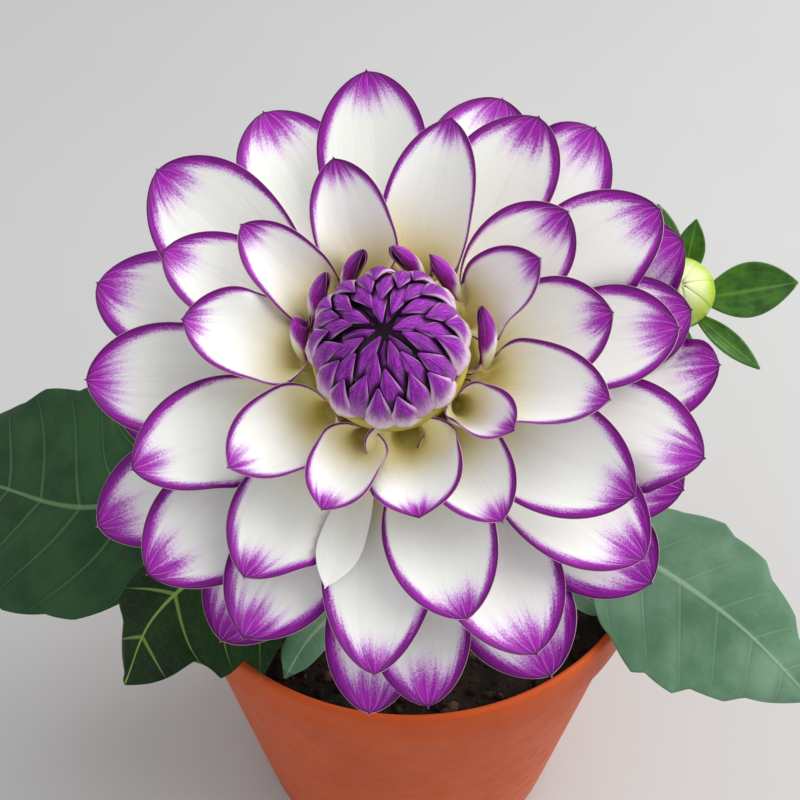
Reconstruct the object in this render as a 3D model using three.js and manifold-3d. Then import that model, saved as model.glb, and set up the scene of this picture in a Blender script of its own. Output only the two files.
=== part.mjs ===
// A potted dahlia: one large white bloom edged with purple on a short stem, a side bud, broad
// toothed leaves, and a plain terracotta-coloured nursery pot filled with compost.
// Millimetres, +Z up. The origin is the middle of the pot's flat underside, and the bloom leans
// towards -Y.
import * as THREE from "three";
import { mergeVertices } from "three/addons/utils/BufferGeometryUtils.js";
import Module from "manifold-3d";

const wasm = await Module();
wasm.setup();

// Pot
const POT_HEIGHT = 145;
const RIM_RADIUS = 85;
const COLLAR_DEPTH = 19;
const COLLAR_STEP = 3.4;
const BASE_RADIUS = 62;
const WALL = 2.4;
const FLOOR = 3;
const DRAIN_RADIUS = 5;
const DRAIN_CIRCLE = 38;
const DRAIN_COUNT = 6;
const POT_SIDES = 36;

// Compost
const SOIL_TOP = 133.5;
const LUMP = 1.3;

// Gap between neighbouring pieces
const GAP = 0.3;

// Bloom: the middle of its heart, and the way it faces
const HEART_CENTRE = new THREE.Vector3(-5.95, -49, 264.3);
const BLOOM_AXIS = new THREE.Vector3(-0.083, -0.528, 0.845).normalize();
const HEART_RADIUS = 18.8;
const HEART_CLEAR = 21.35;
const PETAL_THICKNESS = 0.7;

// Bud: the middle of its ball, and the way it faces
const BUD_CENTRE = new THREE.Vector3(82.9, 11.2, 233.9);
const BUD_AXIS = new THREE.Vector3(-0.2, -0.6, 0.775).normalize();
const BUD_RADIUS = 10.2;

// Stems and leaves
const STEM_RADIUS = 3.3;
const BUD_STEM_RADIUS = 1.7;
const LEAF_THICKNESS = 0.8;
const STALK_THICKNESS = 3;

const clamp = THREE.MathUtils.clamp;
const rad = THREE.MathUtils.degToRad;
const vec = (x, y, z) => new THREE.Vector3(x, y, z);

// Smooth step from 0 to 1.
function ease(x) {
  const k = clamp(x, 0, 1);
  return k * k * (3 - 2 * k);
}

// A closed solid between two like grids of points, the upper one facing out. Both faces are cut
// into the same triangles.
function slab(upper, lower) {
  const ni = upper.length;
  const nj = upper[0].length;
  const points = [...upper.flat(), ...lower.flat()];
  const position = new Float32Array(points.flatMap((p) => [p.x, p.y, p.z]));
  const up = (i, j) => i * nj + j;
  const down = (i, j) => ni * nj + i * nj + j;
  const index = [];
  const quad = (a, b, c, d) => index.push(a, b, c, a, c, d);
  for (let i = 0; i < ni - 1; i++) {
    for (let j = 0; j < nj - 1; j++) {
      quad(up(i, j), up(i, j + 1), up(i + 1, j + 1), up(i + 1, j));
      index.push(down(i, j), down(i + 1, j + 1), down(i, j + 1));
      index.push(down(i, j), down(i + 1, j), down(i + 1, j + 1));
    }
  }
  for (let i = 0; i < ni - 1; i++) {
    quad(up(i, 0), up(i + 1, 0), down(i + 1, 0), down(i, 0));
    quad(up(i + 1, nj - 1), up(i, nj - 1), down(i, nj - 1), down(i + 1, nj - 1));
  }
  for (let j = 0; j < nj - 1; j++) {
    quad(up(0, j + 1), up(0, j), down(0, j), down(0, j + 1));
    quad(up(ni - 1, j), up(ni - 1, j + 1), down(ni - 1, j + 1), down(ni - 1, j));
  }
  const made = new THREE.BufferGeometry();
  made.setAttribute("position", new THREE.BufferAttribute(position, 3));
  made.setIndex(index);
  return made;
}

// A blade of the given thickness about a grid of middle points. thickness(i, j) may vary.
function blade(grid, thickness) {
  const ni = grid.length;
  const nj = grid[0].length;
  const upper = [];
  const lower = [];
  for (let i = 0; i < ni; i++) {
    upper.push([]);
    lower.push([]);
    for (let j = 0; j < nj; j++) {
      const along = grid[Math.min(i + 1, ni - 1)][j].clone().sub(grid[Math.max(i - 1, 0)][j]);
      const across = grid[i][Math.min(j + 1, nj - 1)].clone().sub(grid[i][Math.max(j - 1, 0)]);
      const normal = across.cross(along).normalize();
      const half = thickness(i, j) / 2;
      upper[i].push(grid[i][j].clone().addScaledVector(normal, half));
      lower[i].push(grid[i][j].clone().addScaledVector(normal, -half));
    }
  }
  return slab(upper, lower);
}

// A closed geometry as a solid for joining and cutting.
function solid(geometry) {
  const bare = new THREE.BufferGeometry();
  const flat = geometry.index ? geometry.toNonIndexed() : geometry;
  bare.setAttribute("position", flat.getAttribute("position"));
  const merged = mergeVertices(bare, 1e-4);
  return new wasm.Manifold(
    new wasm.Mesh({
      numProp: 3,
      vertProperties: merged.attributes.position.array,
      triVerts: new Uint32Array(merged.index.array),
    }),
  );
}

// A joined or cut solid as a geometry: its one outer skin, with any closed pocket filled.
function skin(made) {
  const whole = made.simplify(0.14).decompose();
  whole.sort((a, b) => b.volume() - a.volume());
  const mesh = whole[0].getMesh();
  const geometry = new THREE.BufferGeometry();
  geometry.setAttribute("position", new THREE.BufferAttribute(mesh.vertProperties, 3));
  geometry.setIndex(Array.from(mesh.triVerts));
  return geometry;
}

function finish(name, geometry, colour, roughness) {
  const material = new THREE.MeshStandardMaterial({ color: colour, roughness, metalness: 0 });
  const mesh = new THREE.Mesh(geometry, material);
  mesh.name = name;
  return mesh;
}

// A turned solid about Z from a closed profile of radius and height pairs.
function turned(profile, sides) {
  const points = profile.map(([r, z]) => new THREE.Vector2(r, z));
  return new THREE.LatheGeometry(points, sides).rotateX(Math.PI / 2);
}

// An upright round plug from z0 to z1.
function plug(radius, x, y, z0, z1, sides) {
  const made = new THREE.CylinderGeometry(radius, radius, z1 - z0, sides);
  return made.rotateX(Math.PI / 2).translate(x, y, (z0 + z1) / 2);
}

// A round stem of one thickness through the points.
function stem(points, radius, sides, steps) {
  const path = new THREE.CatmullRomCurve3(points);
  const shape = new THREE.Shape();
  for (let k = 0; k < sides; k++) {
    const a = (2 * Math.PI * k) / sides;
    const x = radius * Math.cos(a);
    const y = radius * Math.sin(a);
    if (k) shape.lineTo(x, y);
    else shape.moveTo(x, y);
  }
  shape.closePath();
  return new THREE.ExtrudeGeometry(shape, { steps, extrudePath: path, bevelEnabled: false });
}

// The pot: a tapered wall with a deeper collar at the rim, a flat foot and a ring of drain holes.
function pot() {
  const body = RIM_RADIUS - COLLAR_STEP;
  const low = POT_HEIGHT - COLLAR_DEPTH;
  const profile = [
    [0, 0],
    [BASE_RADIUS - 1.5, 0],
    [BASE_RADIUS, 1.5],
    [body, low],
    [RIM_RADIUS - 1.2, low],
    [RIM_RADIUS - 0.6, low + 0.8],
    [RIM_RADIUS, POT_HEIGHT - 1.2],
    [RIM_RADIUS - 1.2, POT_HEIGHT],
    [RIM_RADIUS - WALL, POT_HEIGHT - 1],
    [RIM_RADIUS - WALL - 0.6, low + 2],
    [body - WALL, low - 3],
    [BASE_RADIUS - WALL + 0.3, FLOOR],
    [0, FLOOR],
  ];
  let made = solid(turned(profile, POT_SIDES));
  for (let k = 0; k < DRAIN_COUNT; k++) {
    const a = (2 * Math.PI * k) / DRAIN_COUNT;
    const x = DRAIN_CIRCLE * Math.cos(a);
    const y = DRAIN_CIRCLE * Math.sin(a);
    made = made.subtract(solid(plug(DRAIN_RADIUS, x, y, -2, FLOOR + 2, 12)));
  }
  return finish("pot", skin(made), 0xb5603c, 0.55);
}

// Height of the compost's lumpy top.
function soilHeight(x, y) {
  const coarse = Math.sin(0.11 * x + 1.3) * Math.cos(0.13 * y - 0.4);
  const fine = Math.sin(0.31 * x - 0.27 * y + 0.6) * Math.cos(0.29 * x + 0.35 * y);
  return SOIL_TOP + LUMP * (0.7 * coarse + 0.5 * fine);
}

// Feet of the two small leaves that rise from the compost.
const SMALL_FEET = [
  [-22, -40],
  [38, -24],
];

function soil() {
  const body = RIM_RADIUS - COLLAR_STEP;
  const low = POT_HEIGHT - COLLAR_DEPTH;
  const foot = BASE_RADIUS - WALL + 0.3 - GAP - 0.1;
  const side = RIM_RADIUS - WALL - 0.6 - GAP - 0.1;
  const profile = [
    [0, FLOOR + GAP],
    [foot, FLOOR + GAP],
    [body - WALL - GAP - 0.1, low - 3],
    [side, low + 2],
    [side + 0.1, SOIL_TOP],
  ];
  for (const r of [66, 50, 33, 16]) profile.push([r, SOIL_TOP]);
  profile.push([0, SOIL_TOP]);
  const made = turned(profile, POT_SIDES);
  const at = made.getAttribute("position");
  for (let k = 0; k < at.count; k++) {
    if (at.getZ(k) > SOIL_TOP - 0.01) at.setZ(k, soilHeight(at.getX(k), at.getY(k)));
  }
  const floor = SOIL_TOP - 18;
  let cut = solid(made).subtract(
    solid(plug(STEM_RADIUS + 0.7, 0, 0, floor, SOIL_TOP + 20, 16)),
  );
  for (const [x, y] of SMALL_FEET) {
    cut = cut.subtract(solid(plug(3.4, x, y, SOIL_TOP - 10, SOIL_TOP + 20, 10)));
  }
  return finish("compost", skin(cut), 0x2a211b, 0.95);
}

// The bloom is built about its heart's middle, facing +Z, with azimuth 0 along +Y and 90 along
// +X. Placed, azimuth 0 is the uphill side of the leaning bloom.
function placeBloom(mesh) {
  const east = vec(0.988, -0.1552, 0).normalize();
  const up = BLOOM_AXIS.clone().cross(east).normalize();
  const square = up.clone().cross(BLOOM_AXIS);
  mesh.quaternion.setFromRotationMatrix(new THREE.Matrix4().makeBasis(square, up, BLOOM_AXIS));
  mesh.position.copy(HEART_CENTRE);
  return mesh;
}

// Each whorl: root and control point of the petal's middle line as reach and height, the usual
// height of its tips, the half angle of its roll at the tip, the sideways tilt in degrees by which
// neighbours lie over each other like tiles, where a petal is widest and where it is cut across
// (0 to 1 along).
const WHORLS = {
  inner: {
    root: [12.5, -24],
    control: [26, -6],
    level: 10,
    tipCurl: 0.6,
    bank: 4,
    widest: 0.62,
    cuts: [0.24, 0.38, 0.5, 0.68, 0.87, 0.96, 1],
  },
  middle: {
    root: [13.5, -26],
    control: [36, -11],
    level: 0,
    tipCurl: 0.5,
    bank: -8,
    widest: 0.66,
    cuts: [0.22, 0.42, 0.66, 0.85, 0.96, 1],
  },
  outer: {
    root: [14, -28],
    control: [45, -20],
    level: -11,
    tipCurl: 0.4,
    bank: 10,
    widest: 0.7,
    cuts: [0.13, 0.48, 0.75, 0.93, 1],
  },
  back: {
    root: [14.5, -30.5],
    control: [50, -29],
    level: -25,
    tipCurl: 0.3,
    bank: -9,
    widest: 0.72,
    cuts: [0.13, 0.48, 0.76, 0.93, 1],
  },
  floret: {
    root: [23.5, -14],
    control: [30, -2],
    level: 9,
    tipCurl: 2.5,
    bank: 0,
    widest: 0.5,
    cuts: [0, 0.35, 0.7, 1],
  },
  slip: {
    root: [22, -18],
    control: [42, -13],
    level: 0,
    tipCurl: 0.3,
    bank: 0,
    widest: 0.7,
    cuts: [0, 0.35, 0.7, 1],
  },
};

// Petals in the order in which they lie over each other, the topmost first: whorl, azimuth, reach
// and height of the tip, half width, where the rolled base opens (0 to 1 along), the half angle of
// the roll at the widest, and the base's turn from the tip.
const PETALS = [
  ["floret", 355, 24.8, 10, 6.5, 0.9, 2.5, -18],
  ["floret", 18, 24.8, 10, 6.5, 0.9, 2.5, -22],
  ["floret", 62, 25.3, 9, 6.5, 0.9, 2.5, -26],
  ["floret", 313, 24.3, 9, 6.5, 0.9, 2.5, 24],
  ["floret", 290, 24.3, 8, 6.5, 0.9, 2.5, 26],
  ["floret", 339, 24.8, 10, 6.5, 0.9, 2.5, 22],
  ["inner", 119.3, 38.9, 12, 11, 0.48, 1.8, 0],
  ["inner", 54.3, 43.7, 10, 13, 0.42, 1.3, 0],
  ["inner", 193, 44.5, 10, 12.5, 0.44, 1.45, 0],
  ["inner", 161.9, 44.6, 10, 18, 0.44, 1.5, 0],
  ["inner", 302.8, 49.4, 10, 11.5, 0.42, 1.15, 0],
  ["inner", 223.8, 49.8, 10, 14.5, 0.42, 1.25, 0],
  ["inner", 336.8, 51.4, 10, 13, 0.4, 1.1, 0],
  ["inner", 270.2, 52.4, 10, 15.5, 0.42, 1.2, 0],
  ["inner", 140.2, 52.5, 4, 14, 0.38, 1.1, 0],
  ["inner", 98.5, 56.7, 9, 14, 0.4, 1.15, 0],
  ["inner", 8.2, 61.8, 10, 14.5, 0.38, 1, 0],
  ["slip", 192, 61.5, -4, 6, 0.12, 0.4, 0],
  ["middle", 73.3, 57.6, 0, 15, 0.28, 0.78, 0],
  ["middle", 44.1, 59.2, 0, 14.5, 0.28, 0.83, 0],
  ["middle", 288.3, 67.3, 0, 14, 0.28, 0.78, 0],
  ["middle", 204.9, 67.7, -1, 16, 0.28, 0.73, 0],
  ["middle", 156.9, 70.2, -1, 16, 0.28, 0.78, 0],
  ["middle", 114.9, 71.2, 1, 16.5, 0.28, 0.73, 0],
  ["middle", 238.3, 72.3, 0, 16.5, 0.26, 0.73, 0],
  ["middle", 175.5, 80.9, -7, 16, 0.22, 0.58, 0],
  ["outer", 76.8, 75.2, -10, 15.5, 0.2, 0.5, 0],
  ["outer", 22.3, 80.3, -12, 16.5, 0.2, 0.5, 0],
  ["outer", 201, 81, -13, 15.5, 0.2, 0.5, 0],
  ["outer", 53, 82, -9, 16.5, 0.2, 0.5, 0],
  ["outer", 122.2, 82, -11, 16.5, 0.2, 0.5, 0],
  ["outer", 101.4, 83.6, -9, 16.5, 0.2, 0.5, 0],
  ["outer", 147, 83.6, -14, 16.5, 0.2, 0.5, 0],
  ["outer", 260.5, 83.6, -11, 16, 0.2, 0.5, 0],
  ["outer", 221.5, 84.2, -10, 16.5, 0.2, 0.5, 0],
  ["outer", 347.2, 85, -10, 16.5, 0.2, 0.5, 0],
  ["outer", 303, 87, -9, 18, 0.2, 0.5, 3],
  ["back", 257, 80, -28, 15, 0.2, 0.4, 0],
  ["back", 105.8, 82.6, -25, 15.5, 0.2, 0.4, 0],
  ["back", 69.6, 83.5, -30, 14, 0.2, 0.4, 0],
  ["back", 206, 86, -26, 16, 0.2, 0.4, 0],
  ["back", 82, 87, -23, 16, 0.2, 0.4, 0],
  ["back", 57.6, 87, -23, 16, 0.2, 0.4, 0],
  ["back", 123.2, 87.6, -24, 16, 0.2, 0.4, 0],
  ["back", 12.5, 88, -26, 16.5, 0.2, 0.4, 0],
  ["back", 167.3, 88.8, -23, 14, 0.2, 0.4, 0],
  ["back", 326.2, 89.5, -24, 16.5, 0.2, 0.4, 0],
  ["back", 146.3, 90, -24, 16.5, 0.2, 0.4, 0],
  ["back", 177.5, 90.9, -29, 14, 0.2, 0.4, 0],
  ["back", 30.7, 91, -24, 16.5, 0.2, 0.4, 0],
  ["back", 281, 91.3, -24, 16.5, 0.2, 0.4, 0],
  ["back", 236, 92, -24, 16, 0.2, 0.4, 0],
];

// Middle surface of a petal, in steps of 1/48 along and 1/24 across. Its middle line is a curve in
// the upright plane at its azimuth. Each cross-section is an arc that starts as an almost closed
// roll and opens to a shallow dish, and the width swells past half way and closes to a point.
const ALONG = 48;
const ACROSS = 24;
function petalGrid([whorl, azimuth, reach, height, half, opened, curl, turn]) {
  const { root, control, level, tipCurl, bank, widest } = WHORLS[whorl];
  const rise = control[1] + 0.7 * (height - level);
  const grid = [];
  for (let i = 0; i <= ALONG; i++) {
    const s = i / ALONG;
    const e = 1 - s;
    const out = e * e * root[0] + 2 * s * e * control[0] + s * s * reach;
    const high = e * e * root[1] + 2 * s * e * rise + s * s * height;
    const dOut = e * (control[0] - root[0]) + s * (reach - control[0]);
    const dHigh = e * (rise - root[1]) + s * (height - rise);
    const length = Math.hypot(dOut, dHigh);
    const swell = 3 / half + (1 - 3 / half) * ease(s / widest);
    const past = clamp((s - widest) / (1 - widest), 0, 1);
    const taper = Math.pow(1 - Math.pow(past, 2.1), 0.62);
    const width = Math.max(half * (s < widest ? swell : taper), 0.35);
    const closed = Math.PI * (1 - 0.55 / width);
    const open = Math.pow(1 - clamp((s - opened) / Math.max(0.66 - opened, 0.1), 0, 1), 4);
    const flat = ease((s - 0.66) / 0.34);
    const most = Math.max(closed, 0.3);
    const roll = THREE.MathUtils.lerp(Math.min(curl + (most - curl) * open, most), tipCurl, flat);
    const radius = width / roll;
    const a = rad(azimuth + turn * (s - 1));
    const r = vec(Math.sin(a), Math.cos(a), 0);
    const line = r.clone().multiplyScalar(out).setZ(high);
    const tangent = r.clone().multiplyScalar(dOut / length).setZ(dHigh / length);
    const q = vec(Math.cos(a), -Math.sin(a), 0).applyAxisAngle(tangent, -rad(bank));
    const normal = q.clone().cross(tangent);
    const row = [];
    for (let j = 0; j <= ACROSS; j++) {
      const bend = roll * ((2 * j) / ACROSS - 1);
      row.push(
        line
          .clone()
          .addScaledVector(q, radius * Math.sin(bend))
          .addScaledVector(normal, radius * (1 - Math.cos(bend))),
      );
    }
    grid.push(row);
  }
  return grid;
}

// Petals laid over each other like tiles. The lowest height over each square millimetre of the
// bloom's plane is kept, and every later petal is pressed down to lie under it, with the press
// spread to its neighbours so that it fades out smoothly.
const NEST_GAP = 1.1;
function nest(grids) {
  const size = 221;
  const below = new Float64Array(size * size).fill(Infinity);
  const cell = (p, dx, dy) => {
    const i = clamp(Math.round(p.x) + 110, 1, size - 2) + dx;
    const j = clamp(Math.round(p.y) + 110, 1, size - 2) + dy;
    return i * size + j;
  };
  const needed = (p) => {
    let over = Infinity;
    for (const dx of [-1, 0, 1]) {
      for (const dy of [-1, 0, 1]) over = Math.min(over, below[cell(p, dx, dy)]);
    }
    if (over === Infinity) return 0;
    return Math.max(p.z - over + NEST_GAP, 0) * ease((Math.hypot(p.x, p.y) - 20) / 8);
  };
  for (const grid of grids) {
    const need = grid.map((row) => row.map(needed));
    let press = need;
    for (let n = 0; n < 10; n++) {
      const last = press;
      const at = (i, j) => last[clamp(i, 0, ALONG)][clamp(j, 0, ACROSS)];
      press = last.map((row, i) =>
        row.map((_, j) => {
          const soft = (at(i - 1, j) + at(i + 1, j) + at(i, j - 1) + at(i, j + 1)) / 4;
          return Math.max(need[i][j], 0.97 * soft);
        }),
      );
    }
    grid.forEach((row, i) => row.forEach((p, j) => p.setZ(p.z - press[i][j])));
    for (let i = 0; i < ALONG; i++) {
      for (let j = 0; j < ACROSS; j++) {
        for (const [a, b] of [[0, 0], [0.33, 0.33], [0.33, 0.67], [0.67, 0.33], [0.67, 0.67]]) {
          const near = grid[i][j].clone().lerp(grid[i][j + 1], b);
          const far = grid[i + 1][j].clone().lerp(grid[i + 1][j + 1], b);
          const p = near.lerp(far, a);
          const k = cell(p, 0, 0);
          below[k] = Math.min(below[k], p.z);
        }
      }
    }
  }
}

// The receptacle, which every petal grows from.
const RECEPTACLE = [
  [0, -35],
  [10, -34.4],
  [20, -32],
  [29.5, -27],
  [31, -22.5],
  [27.5, -16.5],
  [24, -12.6],
  [21.5, -11],
  [0, -11],
];

function petals() {
  const parts = [solid(turned(RECEPTACLE, 14))];
  const grids = PETALS.map(petalGrid);
  nest(grids);
  PETALS.forEach(([whorl], k) => {
    const rows = WHORLS[whorl].cuts.map((s) => grids[k][Math.round(s * ALONG)]);
    const step = whorl === "inner" || whorl === "middle" ? 4 : 6;
    const coarse = rows.map((row) => row.filter((_, j) => j % step === 0));
    parts.push(solid(blade(coarse, () => PETAL_THICKNESS)));
  });
  const ball = solid(new THREE.SphereGeometry(HEART_CLEAR, 16, 10));
  const made = wasm.Manifold.union(parts).subtract(ball);
  return placeBloom(finish("bloom_petals", skin(made), 0xf0ecf0, 0.6));
}

// Heart of the bloom: keeled pointed scales round a dark hollow, each 137.5 degrees on from the
// last, nearer the top, smaller and lower.
const HEART_SCALES = 40;

// The fleshy button the scales grow on, with a swollen collar under them.
const BUTTON = [
  [0, -18.8],
  [9.4, -16.3],
  [16.3, -9.4],
  [19.9, -4.2],
  [20.3, -1],
  [20, 2],
  [18.2, 4.7],
  [15.2, 11.1],
  [8.6, 16.7],
  [0, 18.8],
];

function scaleSolid(k) {
  const outward = Math.pow((HEART_SCALES - 0.4 - k) / (HEART_SCALES - 0.4), 0.72);
  const tip = 44 * outward + 1.5 * Math.sin(2.3 * k) + 1.5;
  const base = Math.min(tip + 36 + 6 * outward, 80);
  const half = 3.2 + 2.1 * outward;
  const lift = 1.5 + 1.3 * outward;
  const a = rad(137.5 * k + 20);
  const from = vec(Math.sin(a), Math.cos(a), 0);
  const side = vec(Math.cos(a), -Math.sin(a), 0);
  const upper = [];
  const lower = [];
  for (const u of outward > 0.78 ? [0, 0.35, 0.7, 1] : [0.2, 0.65, 1]) {
    const polar = rad(base + (tip - base) * u);
    const width = Math.max(half * Math.pow(1 - Math.pow(u, 1.7), 0.85), 0.2);
    const high = HEART_RADIUS + 0.2 + lift * ease(1.15 * u);
    const middle = from.clone().multiplyScalar(Math.sin(polar)).setZ(Math.cos(polar));
    upper.push([]);
    lower.push([]);
    for (const t of [-1, 0, 1]) {
      const across = (t * width) / high;
      const keel = 0.3 * width * (1 - Math.abs(t)) - 0.3 * Math.abs(t);
      const way = middle.clone().multiplyScalar(Math.cos(across));
      way.addScaledVector(side, Math.sin(across));
      upper.at(-1).push(way.clone().multiplyScalar(high + keel));
      lower.at(-1).push(way.clone().multiplyScalar(HEART_RADIUS - 1.2));
    }
  }
  return slab(lower, upper);
}

function heart() {
  const parts = [solid(turned(BUTTON, 16))];
  for (let k = 0; k < HEART_SCALES; k++) parts.push(solid(scaleSolid(k)));
  return placeBloom(finish("bloom_heart", skin(wasm.Manifold.union(parts)), 0x6a2a86, 0.5));
}

// Green cup and leafy bracts behind the bloom.
function bract(azimuth, root, control, tip, half) {
  const a = rad(azimuth);
  const r = vec(Math.sin(a), Math.cos(a), 0);
  const q = vec(Math.cos(a), -Math.sin(a), 0);
  const grid = [];
  for (const s of [0, 0.25, 0.5, 0.78, 1]) {
    const e = 1 - s;
    const out = e * e * root[0] + 2 * s * e * control[0] + s * s * tip[0];
    const high = e * e * root[1] + 2 * s * e * control[1] + s * s * tip[1];
    const width = Math.max(half * Math.pow(Math.sin(Math.PI * Math.pow(0.06 + 0.94 * s, 1.2)), 0.8), 0.4);
    const row = [];
    for (const t of [-1, 0, 1]) {
      const dish = 0.25 * width * t * t;
      row.push(r.clone().multiplyScalar(out).setZ(high + dish).addScaledVector(q, t * width));
    }
    grid.push(row);
  }
  return solid(blade(grid, () => 1));
}

function calyx() {
  const cup = [
    [0, -39],
    [4, -38.8],
    [10, -37.2],
    [15.5, -34.6],
    [16, -33.4],
    [10.1, -34.75],
    [0, -35.35],
  ];
  const parts = [solid(turned(cup, 16))];
  for (let k = 0; k < 5; k++) {
    parts.push(bract(20 + 72 * k, [9, -36.8], [24, -36.6], [36, -45 - 2 * (k % 2)], 6.5));
  }
  return placeBloom(finish("bloom_calyx", skin(wasm.Manifold.union(parts)), 0x5d8a3a, 0.6));
}

// The bud is built about its middle, facing +Z, and is then placed with azimuth 0 uphill.
function placeBud(mesh) {
  const east = vec(1, 0, 0);
  const up = BUD_AXIS.clone().cross(east).normalize();
  const square = up.clone().cross(BUD_AXIS);
  mesh.quaternion.setFromRotationMatrix(new THREE.Matrix4().makeBasis(square, up, BUD_AXIS));
  mesh.position.copy(BUD_CENTRE);
  return mesh;
}

// The bud's pale outer scales wrap round it, each lapping over the next by a small step.
function budBall() {
  const made = new THREE.SphereGeometry(BUD_RADIUS, 24, 8).rotateX(Math.PI / 2);
  const at = made.getAttribute("position");
  for (let k = 0; k < at.count; k++) {
    const p = vec(at.getX(k), at.getY(k), at.getZ(k));
    const turns = (8 * Math.atan2(p.y, p.x)) / (2 * Math.PI) + 8.01;
    const step = 0.5 * (turns % 1) * Math.hypot(p.x, p.y) / BUD_RADIUS;
    p.setLength(BUD_RADIUS + step);
    at.setXYZ(k, p.x, p.y, p.z);
  }
  return placeBud(finish("bud_ball", made, 0xcfd79a, 0.5));
}

// Leafy bracts of the bud: azimuth, reach and height of the tip, half width.
const BUD_BRACTS = [
  [349, 30, -5, 4.5],
  [14, 24, -3, 4.5],
  [87, 35, -2, 8.5],
  [135, 33, -8, 3.4],
  [180, 37, -9, 5.5],
];

function budCalyx() {
  const cup = [
    [0, -15.5],
    [3, -15.2],
    [7.5, -12.4],
    [10.2, -8.6],
    [8.74, -7.05],
    [6.2, -9.35],
    [3.2, -10.75],
    [0, -11.2],
  ];
  const parts = [solid(turned(cup, 12))];
  for (const [azimuth, reach, height, half] of BUD_BRACTS) {
    parts.push(bract(azimuth, [7, -12.2], [0.55 * reach, -10], [reach, height], half));
  }
  return placeBud(finish("bud_calyx", skin(wasm.Manifold.union(parts)), 0x5f9a34, 0.6));
}

// A point behind the heart's middle, on the bloom's axis.
function behindBloom(depth) {
  return HEART_CENTRE.clone().addScaledVector(BLOOM_AXIS, -depth);
}

function mainStem() {
  const points = [
    vec(0, 0, SOIL_TOP - 17.6),
    vec(0, 0, SOIL_TOP + 8),
    vec(-0.3, -2, 172),
    vec(-1, -9, 200),
    behindBloom(52),
    behindBloom(39 + GAP + 0.05),
  ];
  return finish("stem", stem(points, STEM_RADIUS, 10, 12), 0x5f8b3c, 0.6);
}

function budStem() {
  const tip = BUD_CENTRE.clone().addScaledVector(BUD_AXIS, -15.5 - GAP - 0.05);
  const before = BUD_CENTRE.clone().addScaledVector(BUD_AXIS, -26);
  const points = [vec(4.1, 2.4, 150), vec(20, 12, 162), vec(50, 25, 178), vec(80, 33, 196), before, tip];
  return finish("bud_stem", stem(points, BUD_STEM_RADIUS, 7, 10), 0x5f8b3c, 0.6);
}

// Each leaf: points of its stalk and midrib, where the blade starts (0 to 1 along), the way its
// right-hand edge lies, half width, teeth a side, their depth, the lift of the edges, the wave,
// and the shares of the half width that the left and right halves keep.
const LEAVES = [
  {
    name: "leaf_left",
    path: [[-4.4, 0.6, 150], [-48, -4, 172], [-107, -14, 161], [-149, 8, 147], [-184, 30, 130]],
    side: [0.12, 0.92, 0.38],
    start: 0.3,
    half: 45,
    teeth: 6,
    depth: 0.035,
    lift: -0.12,
    wave: 2,
    halves: [0.84, 1],
    colour: 0x355a38,
  },
  {
    name: "leaf_right",
    path: [[3.9, -2, 152], [44, -24, 172], [77, -43, 167], [103, -58, 156], [127, -73, 137]],
    side: [-0.31, -0.76, -0.58],
    start: 0.36,
    half: 31,
    teeth: 5,
    depth: 0.04,
    lift: -0.08,
    wave: 1.5,
    halves: [0.74, 1],
    colour: 0x6f9a74,
  },
  {
    name: "leaf_front_left",
    path: [[-3.4, -3.2, 148], [-36, -26, 167], [-63, -46, 170], [-80, -60, 162], [-89, -73, 146]],
    side: [-0.5, 0.75, 0.42],
    start: 0.2,
    half: 34,
    teeth: 4,
    depth: 0.14,
    lift: -0.06,
    wave: 1.6,
    halves: [1, 0.45],
    colour: 0x2c5428,
  },
  {
    name: "leaf_back_right",
    path: [[2.2, 3.9, 140], [22, 38, 158], [40, 66, 163], [54, 90, 156], [64, 112, 140]],
    side: [0.86, -0.5, 0.05],
    start: 0.26,
    half: 31,
    teeth: 5,
    depth: 0.1,
    lift: -0.08,
    wave: 1.6,
    colour: 0x3f6d3a,
  },
  {
    name: "leaf_small_front",
    path: [[-22, -40, 124], [-22, -40, 135], [-26, -49, 147], [-33, -61, 151], [-39, -73, 149.5]],
    side: [-0.9, 0.42, 0.1],
    start: 0.4,
    half: 8,
    teeth: 2,
    depth: 0.1,
    lift: 0.1,
    wave: 0.3,
    colour: 0x6d9a70,
  },
  {
    name: "leaf_small_right",
    path: [[38, -24, 124], [38, -24, 135], [46, -32, 146], [56, -42, 150], [64, -50, 149.5]],
    side: [-0.7, -0.7, 0],
    start: 0.4,
    half: 8,
    teeth: 2,
    depth: 0.1,
    lift: 0.1,
    wave: 0.3,
    colour: 0x6d9a70,
  },
];

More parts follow.
